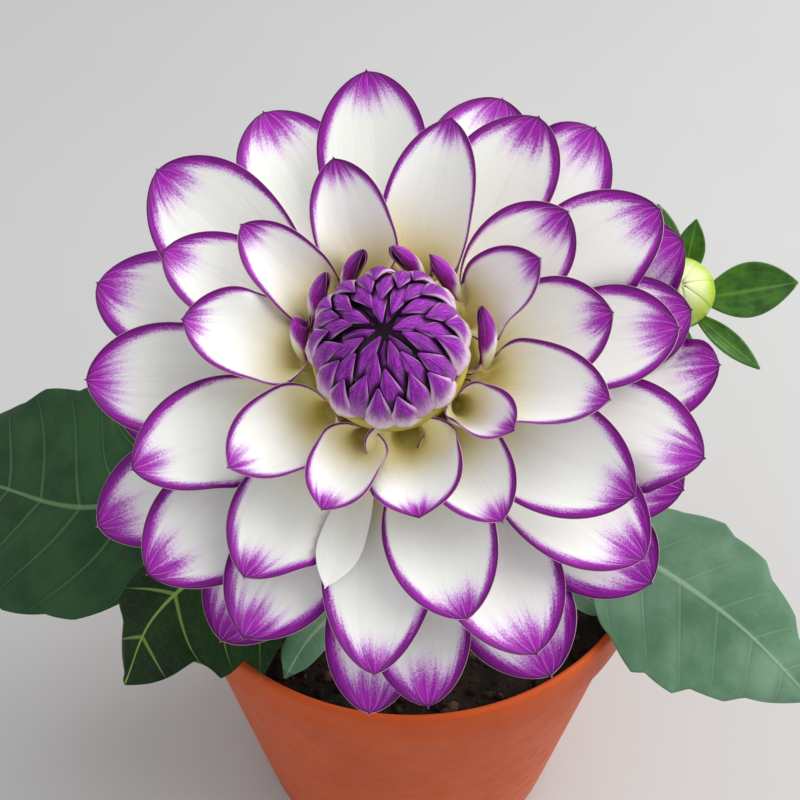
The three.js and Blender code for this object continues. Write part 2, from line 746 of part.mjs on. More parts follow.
function leaf({ name, path, side, start, half, teeth, depth, lift, wave, halves = [1, 1], colour }) {
  const curve = new THREE.CatmullRomCurve3(path.map((p) => vec(...p)));
  const lean = vec(...side).normalize();
  const rows = [
    [0, 0],
    [start * 0.5, 0],
    [start * 0.93, 0],
  ];
  for (let k = 0; k < teeth; k++) {
    rows.push([start + ((1 - start) * (k + 0.1)) / teeth, -1]);
    rows.push([start + ((1 - start) * (k + 0.75)) / teeth, 1]);
  }
  rows.push([1, 0]);
  const grid = rows.map(([s, tooth]) => {
    const x = clamp((s - start) / (1 - start), 0, 1);
    const form = Math.pow(Math.max(Math.sin(Math.PI * Math.pow(x, 0.75)), 0), 0.8);
    const width = Math.max(half * form, x > 0.9 ? 0.5 : STALK_THICKNESS / 2);
    const middle = curve.getPoint(s);
    const tangent = curve.getTangent(s);
    const right = lean.clone().addScaledVector(tangent, -lean.dot(tangent)).normalize();
    const normal = right.clone().cross(tangent).normalize();
    const wide = half * form > STALK_THICKNESS ? 1 : 0;
    return [-1, -0.5, 0, 0.5, 1].map((t) => {
      const edge = Math.abs(t) === 1 ? wide * tooth * depth : 0;
      const out = t * width * (1 + edge) * halves[t > 0 ? 1 : 0];
      const rise = wide * (lift * Math.abs(out) + wave * t * t * Math.sin(9 * s + 2 * t));
      return middle
        .clone()
        .addScaledVector(right, out)
        .addScaledVector(normal, rise)
        .addScaledVector(tangent, Math.abs(t) === 1 ? 2.2 * wide * tooth * depth * 8 : 0);
    });
  });
  const thick = (i, j) => {
    if (i > 2) return j === 2 ? LEAF_THICKNESS + 0.8 : LEAF_THICKNESS;
    return j === 0 || j === 4 ? 1.2 : STALK_THICKNESS;
  };
  return finish(name, blade(grid, thick), colour, 0.6);
}

const dahlia = new THREE.Group();
dahlia.name = "potted_dahlia";
dahlia.add(pot(), soil(), mainStem(), calyx(), petals(), heart());
dahlia.add(budStem(), budCalyx(), budBall());
for (const one of LEAVES) dahlia.add(leaf(one));

export default dahlia;
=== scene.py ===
import math

import bpy
import numpy as np
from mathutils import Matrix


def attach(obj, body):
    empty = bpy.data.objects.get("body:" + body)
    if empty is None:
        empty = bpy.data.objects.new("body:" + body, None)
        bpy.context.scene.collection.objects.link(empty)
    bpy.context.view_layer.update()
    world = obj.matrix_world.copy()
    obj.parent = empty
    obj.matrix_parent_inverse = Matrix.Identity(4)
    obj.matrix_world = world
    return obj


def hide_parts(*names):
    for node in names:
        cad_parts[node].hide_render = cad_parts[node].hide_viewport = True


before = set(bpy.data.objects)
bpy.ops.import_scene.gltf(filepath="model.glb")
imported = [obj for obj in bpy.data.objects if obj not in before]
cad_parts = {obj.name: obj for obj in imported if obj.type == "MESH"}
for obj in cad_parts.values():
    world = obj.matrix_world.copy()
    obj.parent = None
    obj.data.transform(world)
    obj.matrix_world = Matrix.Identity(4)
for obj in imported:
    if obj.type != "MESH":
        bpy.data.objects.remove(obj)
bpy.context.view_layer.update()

# Pot
# A plain tapered nursery pot, thin terracotta-coloured plastic, moulded in one piece with a
# deeper collar at the rim and six round drain holes in its flat foot. Lengths are in
# millimetres until a mesh is made. The profile runs up the outside and down the inside.
POT_PROFILE = [
    (0, 0), (30, 0), (58.5, 0), (60.6, 0.15), (61.6, 0.7), (62.1, 1.9), (64.6, 17), (70, 51.5),
    (76, 90), (81.0, 122), (81.5, 125), (82.2, 125.9), (83.4, 126), (84.1, 126.3), (84.4, 127.2),
    (84.7, 135), (85, 142.6), (84.9, 143.9), (84.3, 144.8), (83.6, 145), (82.9, 144.8),
    (82.4, 144.1), (82.2, 138), (81.9, 129.5), (81.2, 126.2), (79.6, 123.5), (77.6, 111),
    (70, 64), (63, 21), (60.4, 4.6), (59.2, 3.2), (57.5, 3), (30, 3), (0, 3),
]
POT_AROUND = 160
DRAIN_CIRCLE = 38
DRAIN_RADIUS = 5
DRAIN_HOLES = 6


def grid_faces(rows, cols, wrap=False):
    """Quads of a grid of points numbered row by row. With wrap, the last column joins the first."""
    i = np.arange(rows - 1)[:, None]
    j = np.arange(cols if wrap else cols - 1)[None, :]
    k = (j + 1) % cols
    quads = np.stack([i * cols + j, i * cols + k, (i + 1) * cols + k, (i + 1) * cols + j], -1)
    return quads.reshape(-1, 4)


def ring_faces(rings, around):
    """Quads between rings of points, and a fan of triangles at each end to a pole. The two poles
    are numbered after the rings."""
    faces = [tuple(f) for f in grid_faces(rings, around, wrap=True)]
    first = rings * around
    top = first - around
    for j in range(around):
        k = (j + 1) % around
        faces.append((first, k, j))
        faces.append((first + 1, top + j, top + k))
    return faces


def turned(profile, around):
    """A surface of revolution about Z: each profile point (radius, height) becomes a ring of
    radius times cosine and sine. The first and last points lie on the axis and become poles."""
    profile = np.array(profile, float)
    angle = 2 * np.pi * np.arange(around) / around
    ring = np.stack([np.cos(angle), np.sin(angle)], -1)
    inner = profile[1:-1]
    side = np.concatenate([inner[:, None, :1] * ring, np.repeat(inner[:, None, 1:], around, 1)], -1)
    points = np.vstack([side.reshape(-1, 3), [[0, 0, profile[0, 1]], [0, 0, profile[-1, 1]]]])
    return points, ring_faces(len(inner), around)


def make_piece(name, points, faces, material, attributes=None):
    """A smooth mesh object in metres from points in millimetres, with its point attributes."""
    mesh = bpy.data.meshes.new(name)
    mesh.from_pydata(np.asarray(points, float) / 1000, [], [tuple(map(int, f)) for f in faces])
    mesh.polygons.foreach_set("use_smooth", np.ones(len(mesh.polygons), bool))
    for key, values in (attributes or {}).items():
        made = mesh.attributes.new(key, "FLOAT", "POINT")
        made.data.foreach_set("value", np.asarray(values, np.float32).ravel())
    mesh.materials.append(material)
    mesh.update()
    piece = bpy.data.objects.new(name, mesh)
    bpy.context.scene.collection.objects.link(piece)
    return piece


class Tone:
    """A number or a colour that varies over a piece. Arithmetic on it adds the node that does it."""

    def __init__(self, tree, socket):
        self.tree = tree
        self.socket = socket

    def maths(self, operation, *others):
        """One arithmetic step with other tones or numbers."""
        node = add_node(self.tree, "Math", dict(enumerate((self, *others))), operation=operation)
        return Tone(self.tree, node.outputs[0])

    def __add__(self, other):
        return self.maths("ADD", other)

    def __sub__(self, other):
        return self.maths("SUBTRACT", other)

    def __mul__(self, other):
        return self.maths("MULTIPLY", other)

    def __truediv__(self, other):
        return self.maths("DIVIDE", other)

    def __abs__(self):
        return self.maths("ABSOLUTE")

    def over(self, low, high, to_low=0.0, to_high=1.0):
        """The value carried by a smooth step from one range to another, and held at its ends."""
        inputs = {"Value": self, "From Min": low, "From Max": high, "To Min": to_low, "To Max": to_high}
        node = add_node(self.tree, "MapRange", inputs, interpolation_type="SMOOTHSTEP")
        return Tone(self.tree, node.outputs["Result"])

    def mix(self, first, second):
        """The colour that goes from first to second as this share goes from 0 to 1."""
        ends = [end if isinstance(end, Tone) else (*end, 1) for end in (first, second)]
        inputs = dict(zip((0, 6, 7), (self, *ends)))
        return Tone(self.tree, add_node(self.tree, "Mix", inputs, data_type="RGBA").outputs[2])


def add_node(tree, kind, inputs=None, **settings):
    """A node with its settings. An input is a value, or a tone that it is joined to."""
    node = tree.nodes.new("ShaderNode" + kind)
    for key, value in settings.items():
        setattr(node, key, value)
    for key, value in (inputs or {}).items():
        if isinstance(value, Tone):
            tree.links.new(value.socket, node.inputs[key])
        else:
            node.inputs[key].default_value = value
    return node


def new_material(name, **plain):
    """A material whose Principled BSDF has these plain values on its own sockets."""
    material = bpy.data.materials.new(name)
    material.use_nodes = True
    inputs = material.node_tree.nodes["Principled BSDF"].inputs
    for key, value in plain.items():
        inputs[key.replace("_", " ").title().replace("Ior", "IOR")].default_value = value
    return material


def place_of(material):
    """Where a point lies on its piece, in Object coordinates."""
    tree = material.node_tree
    return Tone(tree, add_node(tree, "TexCoord").outputs["Object"])


def noise(where, scale, detail, roughness=0.55):
    """Even noise from 0 to 1 over a place."""
    inputs = {"Vector": where, "Scale": scale, "Detail": detail, "Roughness": roughness}
    return Tone(where.tree, add_node(where.tree, "TexNoise", inputs).outputs["Fac"])


def painted(material, colour, relief=None, strength=0.25, depth=0.0004, rough=None):
    """The material with its colour, its relief as a bump so many metres deep, and its roughness."""
    tree = material.node_tree
    shader = tree.nodes["Principled BSDF"]
    tree.links.new(colour.socket, shader.inputs["Base Color"])
    if relief:
        bump = add_node(tree, "Bump", {"Height": relief, "Strength": strength, "Distance": depth})
        tree.links.new(bump.outputs["Normal"], shader.inputs["Normal"])
    if rough:
        tree.links.new(rough.socket, shader.inputs["Roughness"])
    return material


def plastic():
    """Terracotta-coloured plastic: soft mottling, fine grain and faint dust in the scuffs."""
    material = new_material("pot_plastic", roughness=0.5, specular_ior_level=0.12)
    where = place_of(material)
    mottle = noise(where, 26, 5)
    cloud = noise(where, 7, 3)
    grain = noise(where, 1400, 2)
    scuff = noise(where, 120, 6, 0.7)
    colour = mottle.over(0.3, 0.7).mix((0.50, 0.074, 0.014), (0.56, 0.090, 0.020))
    colour = cloud.over(0.35, 0.75, 0, 0.3).mix(colour, (0.60, 0.115, 0.030))
    colour = scuff.over(0.6, 0.8, 0, 0.35).mix(colour, (0.60, 0.21, 0.11))
    rough = scuff.over(0.4, 0.8, 0.40, 0.60) + 0.02
    return painted(material, colour, grain * 0.3 + cloud, 0.25, 0.0004, rough)


points, faces = turned(POT_PROFILE, POT_AROUND)
pot = make_piece("pot_shell", points, faces, plastic())
for hole in range(DRAIN_HOLES):
    turn = 2 * math.pi * hole / DRAIN_HOLES
    place = (DRAIN_CIRCLE * math.cos(turn) / 1000, DRAIN_CIRCLE * math.sin(turn) / 1000, 0)
    drill = {"vertices": 40, "radius": DRAIN_RADIUS / 1000, "depth": 0.012}
    bpy.ops.mesh.primitive_cylinder_add(location=place, **drill)
    cutter = bpy.context.object
    cut = pot.modifiers.new("drain", "BOOLEAN")
    cut.operation = "DIFFERENCE"
    cut.solver = "EXACT"
    cut.object = cutter
    bpy.context.view_layer.objects.active = pot
    bpy.ops.object.modifier_apply(modifier=cut.name)
    bpy.data.objects.remove(cutter)
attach(pot, "root")
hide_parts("pot")

# Compost
# Dark peat compost that fills the pot to a little below the rim: a lumpy top with loose crumbs,
# some of them browner, and plain sides and bottom that follow the pot's wall.
SOIL_TOP = 133.5
SOIL_EDGE = 81.3
SOIL_WALL = [(0, 3.4), (40, 3.4), (59.3, 3.4), (79.0, 123.2), (81.3, 128.2), (SOIL_EDGE, 132.5)]
SOIL_RINGS = 66
SOIL_AROUND = 240
CRUMBS = 1500


def soil_height(x, y):
    """The compost's top: broad lumps plus two finer sets of crossed sine waves, in mm."""
    coarse = np.sin(0.11 * x + 1.3) * np.cos(0.13 * y - 0.4)
    fine = np.sin(0.31 * x - 0.27 * y + 0.6) * np.cos(0.29 * x + 0.35 * y)
    grit = np.sin(1.1 * x + 0.7 * y + 2 * np.sin(0.5 * y)) * np.cos(0.9 * y - 1.2 * x)
    dust = np.sin(2.3 * x - 1.9 * y + 3 * np.sin(0.7 * x)) * np.sin(2.1 * y + 1.7 * x)
    return SOIL_TOP + 0.91 * coarse + 0.65 * fine + 0.4 * grit + 0.25 * dust


def soil_body():
    """The filling as one closed surface of revolution whose top rings follow soil_height."""
    rings = np.linspace(SOIL_EDGE - 0.4, 1.2, SOIL_RINGS)
    profile = SOIL_WALL + [(r, SOIL_TOP) for r in rings] + [(0, SOIL_TOP)]
    points, faces = turned(profile, SOIL_AROUND)
    top = points[:, 2] > SOIL_TOP - 0.01
    points[top, 2] = soil_height(points[top, 0], points[top, 1])
    return points, faces


def crumbs(count, rng):
    """Loose crumbs: small rounded lumps with seven sides, each squashed, turned and sunk a little,
    at places drawn evenly over the disc."""
    lat = np.linspace(0, np.pi, 5)
    ball, faces = turned(np.stack([np.sin(lat), np.cos(lat)], -1), 7)
    radius = (SOIL_EDGE - 2.5) * np.sqrt(rng.random(count))
    turn = 2 * np.pi * rng.random(count)
    size = 0.45 + 1.5 * rng.random(count) ** 3
    lumps = ball[None] * (1 + 0.35 * (rng.random((count, len(ball), 1)) - 0.5))
    lumps = lumps * size[:, None, None] * (0.7 + 0.7 * rng.random((count, 1, 3)))
    x, y = radius * np.cos(turn), radius * np.sin(turn)
    z = soil_height(x, y) + 0.25 * size
    spin = 2 * np.pi * rng.random(count)
    c, s = np.cos(spin)[:, None], np.sin(spin)[:, None]
    px = lumps[..., 0] * c - lumps[..., 1] * s + x[:, None]
    py = lumps[..., 0] * s + lumps[..., 1] * c + y[:, None]
    points = np.stack([px, py, lumps[..., 2] + z[:, None]], -1).reshape(-1, 3)
    every = [tuple(v + len(ball) * n for v in f[::-1]) for n in range(count) for f in faces]
    return points, every, {"tint": np.repeat(rng.random(count), len(ball))}


def joined(parts):
    """Several (points, faces, attributes) made one, with the face numbers shifted."""
    points, faces, values, start = [], [], {}, 0
    for p, f, a in parts:
        points.append(p)
        faces += [tuple(int(v) + start for v in face) for face in f]
        start += len(p)
        for key, value in a.items():
            values.setdefault(key, []).append(np.broadcast_to(value, len(p)))
    return np.vstack(points), faces, {key: np.concatenate(v) for key, v in values.items()}


def attributes_of(material, *names):
    """The named point attributes of a piece, each as a tone."""
    tree = material.node_tree
    nodes = [add_node(tree, "Attribute", attribute_name=name) for name in names]
    return [Tone(tree, node.outputs["Fac"]) for node in nodes]


def peat():
    """Peat: near black with brown crumbs, rough and open."""
    material = new_material("peat", roughness=0.95, specular_ior_level=0.2)
    (tint,) = attributes_of(material, "tint")
    where = place_of(material)
    fine = noise(where, 900, 6, 0.7)
    broad = noise(where, 160, 4)
    colour = broad.over(0.35, 0.7).mix((0.008, 0.005, 0.004), (0.024, 0.015, 0.010))
    colour = fine.over(0.5, 0.75, 0, 0.7).mix(colour, (0.050, 0.031, 0.019))
    colour = tint.over(0.75, 1, 0, 0.8).mix(colour, (0.11, 0.068, 0.042))
    return painted(material, colour, fine + broad, 0.9, 0.0012)


parts = [(*soil_body(), {"tint": 0.0}), crumbs(CRUMBS, np.random.default_rng(7))]
points, faces, spread = joined(parts)
compost = make_piece("compost_fill", points, faces, peat(), spread)
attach(compost, "root")
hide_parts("compost")

# Main stem
# The short thick fleshy stem, green with a faint red flush, rising from the compost and curving
# forward to the back of the bloom.
HEART_CENTRE = np.array([-5.95, -49, 264.3])
BLOOM_AXIS = np.array([-0.083, -0.528, 0.845]) / np.linalg.norm([-0.083, -0.528, 0.845])
STEM_PATH = [
    (0, 0, 115.9), (0, 0, 141.5), (-0.3, -2, 172), (-1, -9, 200),
    tuple(HEART_CENTRE - 52 * BLOOM_AXIS), tuple(HEART_CENTRE - 39.35 * BLOOM_AXIS),
]


def through(points, where):
    """A smooth curve through the points at where (0 to 1): each stretch is a cubic whose end
    slopes follow the neighbouring chords, with knots spaced by the square root of the chords."""
    p = np.array(points, float)
    p = np.vstack([2 * p[0] - p[1], p, 2 * p[-1] - p[-2]])
    at = where * (len(p) - 3)
    i = np.minimum(at.astype(int), len(p) - 4)
    w = (at - i)[..., None]
    a, b, c, d = p[i], p[i + 1], p[i + 2], p[i + 3]
    chords = (b - a, c - b, d - c)
    ta, tb, tc = (np.sqrt(np.linalg.norm(chord, axis=-1, keepdims=True)) for chord in chords)
    first = ((b - a) / ta - (c - a) / (ta + tb) + (c - b) / tb) * tb
    second = ((c - b) / tb - (d - b) / (tb + tc) + (d - c) / tc) * tb
    cubic = 2 * b - 2 * c + first + second
    square = -3 * b + 3 * c - 2 * first - second
    return b + w * (first + w * (square + w * cubic))


def unit(v):
    """Vectors scaled to length one."""
    return v / np.maximum(np.linalg.norm(v, axis=-1, keepdims=True), 1e-9)


def tube(points, radius, rows, around):
    """A round tube: rings of the given radius (one per row) about a smooth curve, square to its
    direction, closed by a flat fan at each end."""
    line = through(points, np.linspace(0, 1, rows))
    along = unit(np.gradient(line, axis=0))
    side = unit(np.cross(along, [0.3, 1, 0.1]))
    other = np.cross(along, side)
    angle = 2 * np.pi * np.arange(around) / around
    radius = np.broadcast_to(radius, rows)[:, None, None]
    ring = side[:, None] * np.cos(angle)[:, None] + other[:, None] * np.sin(angle)[:, None]
    points = (line[:, None] + radius * ring).reshape(-1, 3)
    return np.vstack([points, line[:1], line[-1:]]), ring_faces(rows, around)


def green_flesh(name, low, high, flush, scale=1.0):
    """Fleshy green: soft mottling between two colours, and a flush of a third."""
    material = new_material(
        name, roughness=0.45,
        subsurface_weight=0.08, subsurface_radius=(0.4, 0.8, 0.2), subsurface_scale=0.002,
    )
    where = place_of(material)
    broad = noise(where, 60 * scale, 4)
    fine = noise(where, 700 * scale, 3)
    colour = broad.over(0.3, 0.7).mix(low, high)
    colour = fine.over(0.55, 0.75, 0, 0.5).mix(colour, flush)
    return painted(material, colour, fine + broad, 0.25, 0.0005)


stem_green = green_flesh("stem_green", (0.11, 0.23, 0.045), (0.19, 0.34, 0.07), (0.2, 0.12, 0.05))
STEM_ROWS = 90
STEM_KNOT = 0.36
share = np.linspace(0, 1, STEM_ROWS)
stem_radius = 3.3 - 0.5 * np.sin(np.pi * share) ** 2
stem_radius += 0.25 * np.exp(-(((share - STEM_KNOT) / 0.04) ** 2))
points, faces = tube(STEM_PATH, stem_radius, STEM_ROWS, around=28)
stem = make_piece("stem_main", points, faces, stem_green)
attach(stem, "root")
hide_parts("stem")

# Bloom calyx
# The fleshy green cup that holds the bloom from behind, with five leafy bracts bent back over
# the stem. It is built about the heart's middle, facing +Z, and then leaned with the bloom.
BLOOM = (HEART_CENTRE, BLOOM_AXIS, unit(np.array([0.988, -0.1552, 0])))


def leaned(points, centre, axis, east):
    """Points turned so that +Z runs along the axis and +X square to it, next to east, then set
    about the centre."""
    north = unit(np.cross(axis, east))
    return points @ np.stack([np.cross(north, axis), north, axis]) + centre


def ease(x):
    """Smooth step from 0 to 1."""
    k = np.clip(x, 0, 1)
    return k * k * (3 - 2 * k)


def facing(azimuth):
    """The level directions out along an azimuth and square to it. Degrees run from +Y to +X."""
    a = np.radians(azimuth)
    out = np.stack([np.sin(a), np.cos(a), 0 * a], -1)
    return out, np.stack([np.cos(a), -np.sin(a), 0 * a], -1)


def slab(middle, half, **grids):
    """A thin closed blade about a grid of middle points. Both faces lie half a thickness off
    along the normals, and a rounded rim joins them. Returns points, faces, and the values that
    the named grids have at each point, in the order upper face, lower face, rim."""
    n, m = middle.shape[:2]
    along = np.gradient(middle, axis=0)
    across = np.gradient(middle, axis=1)
    normal = unit(np.cross(across, along))
    half = np.broadcast_to(half, (n, m))[..., None]
    ring = [(0, j) for j in range(m)] + [(i, m - 1) for i in range(1, n)]
    ring += [(n - 1, j) for j in range(m - 2, -1, -1)] + [(i, 0) for i in range(n - 2, 0, -1)]
    ring = np.array(ring)
    out = np.zeros_like(middle)
    out[0] -= unit(along[0])
    out[-1] += unit(along[-1])
    out[:, 0] -= unit(across[:, 0])
    out[:, -1] += unit(across[:, -1])
    rim_at = ring[:, 0], ring[:, 1]
    rim = middle[rim_at] + unit(out[rim_at]) * half[rim_at]
    both = [(middle + side * normal * half).reshape(-1, 3) for side in (1, -1)]
    points = np.vstack([*both, rim])
    quads = grid_faces(n, m)
    edge = ring[:, 0] * m + ring[:, 1]
    after = np.roll(edge, -1)
    outer = 2 * n * m + np.arange(len(edge))
    outer_after = np.roll(outer, -1)
    strip_up = np.stack([edge, outer, outer_after, after], -1)
    strip_down = np.stack([edge + n * m, after + n * m, outer_after, outer], -1)
    faces = np.vstack([quads, quads[:, ::-1] + n * m, strip_up, strip_down])
    values = {}
    for key, grid in grids.items():
        grid = np.broadcast_to(grid, (n, m))
        values[key] = np.concatenate([grid.ravel(), grid.ravel(), grid[rim_at]])
    return points, faces, values


def shares(rows, cols):
    """The shares of a grid: 0 to 1 down its rows and -1 to 1 across its columns."""
    return np.linspace(0, 1, rows)[:, None], np.linspace(-1, 1, cols)[None, :]


def bow(s, start, control, end):
    """A parabola of the share s, from start to end and drawn towards control."""
    e = 1 - s
    return e * e * start + 2 * s * e * control + s * s * end


def bract(azimuth, root, control, tip, half, seed):
    """A leafy bract: a middle line bent as a parabola from root to tip in the upright plane at its
    azimuth, a width that swells and closes, and edges that rise as the square of the share."""
    s, t = shares(26, 15)
    out, high = (bow(s, *ends) for ends in zip(root, control, tip))
    width = np.maximum(half * np.sin(np.pi * (0.06 + 0.94 * s) ** 1.2) ** 0.8, 0.25)
    r, q = facing(azimuth)
    middle = r * (out + 0 * t)[..., None] + q * (t * width)[..., None]
    middle[..., 2] += high + 0.25 * width * t * t + 0.25 * np.sin(6 * s + 2 * t + seed) * t * t
    return slab(middle, 0.45 - 0.2 * t**2 + 0 * s, across=t, along=s)


def leafy(name, dark, light, vein):
    """Leafy bract green: mottled, with pale lengthwise veins, a paler rib and a pale root."""
    material = new_material(name, roughness=0.42, subsurface_weight=0.06, subsurface_scale=0.0015)
    across, along = attributes_of(material, "across", "along")
    mottle = noise(place_of(material), 220, 4)
    wave = abs((across * 9.4).maths("SINE"))
    rib = abs(across).over(0.02, 0.12, 0.7, 0)
    colour = mottle.over(0.3, 0.7).mix(dark, light)
    colour = wave.over(0, 0.25, 0.22, 0).maths("MAXIMUM", rib).mix(colour, vein)
    colour = along.over(0, 0.35, 0.5, 0).mix(colour, vein)
    return painted(material, colour, wave + mottle, 0.15, 0.0004)


bract_green = leafy("bract_green", (0.055, 0.16, 0.02), (0.12, 0.30, 0.04), (0.24, 0.42, 0.10))
CALYX_BRACTS = 5
CALYX_CUP = [
    (0, -39), (2.5, -38.95), (4.4, -38.75), (7, -38.1), (10, -37.2), (13, -36.1), (15.4, -34.9),
    (16.1, -34.1), (15.9, -33.5), (14.5, -33.75), (10.1, -34.75), (5, -35.15), (0, -35.35),
]


def ribbed_cup(profile, around, ribs, along):
    """A turned cup whose shares across go to and fro ribs times round it, and its one share along."""
    points, faces = turned(profile, around)
    angle = np.arctan2(points[:, 1], points[:, 0])
    return points, faces, {"across": 0.3 * np.sin(ribs * angle), "along": along}


parts = [ribbed_cup(CALYX_CUP, around=64, ribs=10, along=0.2)]
for k in range(CALYX_BRACTS):
    tip = (36, -45 - 2 * (k % 2))
    parts.append(bract(20 + 360 / CALYX_BRACTS * k, (9, -36.8), (24, -36.6), tip, half=6.5, seed=2 * k))
points, faces, spread = joined(parts)
calyx = make_piece("calyx_of_bloom", leaned(points, *BLOOM), faces, bract_green, spread)
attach(calyx, "root")
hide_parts("bloom_calyx")

# Petals
# Soft cool blades in five whorls, each rolled into a tube at its root and opening to a spoon with
# a small point: white, cream in the throat, with purple feathered in from margin and tip. Small
# half-open florets stand next to the heart, and one small petal is plain white.

# The ends of each whorl's middle lines as (distance out, height), and the form of its petals.
WHORLS = {
    "floret": dict(root=(23.5, -14), control=(30, -2), level=9, tip_curl=2.5, bank=0, widest=0.5),
    "inner": dict(root=(12.5, -24), control=(26, -6), level=10, tip_curl=0.6, bank=4, widest=0.62),
    "slip": dict(root=(22, -18), control=(42, -13), level=0, tip_curl=0.3, bank=0, widest=0.7),
    "middle": dict(root=(13.5, -26), control=(36, -11), level=0, tip_curl=0.5, bank=-8, widest=0.66),
    "outer": dict(root=(14, -28), control=(45, -20), level=-11, tip_curl=0.4, bank=10, widest=0.7),
    "back": dict(root=(14.5, -30.5), control=(50, -29), level=-25, tip_curl=0.3, bank=-9, widest=0.72),
}
USUAL = {
    "floret": (0.9, 2.5, 0), "inner": (0.42, 1.2, 0), "slip": (0.12, 0.4, 0),
    "middle": (0.28, 0.78, 0), "outer": (0.2, 0.5, 0), "back": (0.2, 0.4, 0),
}
# Azimuth, reach and height of the tip, half width, where the rolled base opens (0 to 1 along),
# the half angle of the roll at the widest, and the base's turn from the tip, the topmost petal
# first. A row leaves out at its end what is usual in its whorl.
PETALS = {
    "floret": [
        (355, 24.8, 10, 6.5, 0.9, 2.5, -18), (18, 24.8, 10, 6.5, 0.9, 2.5, -22),
        (62, 25.3, 9, 6.5, 0.9, 2.5, -26), (313, 24.3, 9, 6.5, 0.9, 2.5, 24),
        (290, 24.3, 8, 6.5, 0.9, 2.5, 26), (339, 24.8, 10, 6.5, 0.9, 2.5, 22),
    ],
    "inner": [
        (119.3, 38.9, 12, 11, 0.48, 1.8), (54.3, 43.7, 10, 13, 0.42, 1.3),
        (193, 44.5, 10, 12.5, 0.44, 1.45), (161.9, 44.6, 10, 18, 0.44, 1.5),
        (302.8, 49.4, 10, 11.5, 0.42, 1.15), (223.8, 49.8, 10, 14.5, 0.42, 1.25),
        (336.8, 51.4, 10, 13, 0.4, 1.1), (270.2, 52.4, 10, 15.5), (140.2, 52.5, 4, 14, 0.38, 1.1),
        (98.5, 56.7, 9, 14, 0.4, 1.15), (8.2, 61.8, 10, 14.5, 0.38, 1.0),
    ],
    "slip": [
        (188, 61.5, -4, 6),
    ],
    "middle": [
        (73.3, 57.6, 0, 15), (44.1, 59.2, 0, 14.5, 0.28, 0.83), (288.3, 67.3, 0, 14),
        (204.9, 67.7, -1, 16, 0.28, 0.73), (156.9, 70.2, -1, 16),
        (114.9, 71.2, 1, 16.5, 0.28, 0.73), (238.3, 72.3, 0, 16.5, 0.26, 0.73),
        (175.5, 80.9, -7, 16, 0.22, 0.58),
    ],
    "outer": [
        (76.8, 75.2, -10, 15.5), (22.3, 80.3, -12, 16.5), (201, 81, -13, 15.5), (53, 82, -9, 16.5),
        (122.2, 82, -11, 16.5), (101.4, 83.6, -9, 16.5), (147, 83.6, -14, 16.5),
        (260.5, 83.6, -11, 16), (221.5, 84.2, -10, 16.5), (347.2, 85, -10, 16.5),
        (303, 87, -9, 18, 0.2, 0.5, 3),
    ],
    "back": [
        (257, 80, -28, 15), (105.8, 82.6, -25, 15.5), (69.6, 83.5, -30, 14), (206, 86, -26, 16),
        (82, 87, -23, 16), (57.6, 87, -23, 16), (123.2, 87.6, -24, 16), (12.5, 88, -26, 16.5),
        (167.3, 88.8, -23, 14), (326.2, 89.5, -24, 16.5), (146.3, 90, -24, 16.5),
        (177.5, 90.9, -29, 14), (30.7, 91, -24, 16.5), (281, 91.3, -24, 16.5), (236, 92, -24, 16),
    ],
}
PETAL_HALF = 0.27
PETAL_APART = 1.1
RIM_MARGIN = -0.25
BLOOM_CELLS = 221


def walked(line):
    """The distance along a line of points, from its first."""
    return np.concatenate([[0], np.cumsum(np.linalg.norm(np.diff(line, axis=0), axis=-1))])


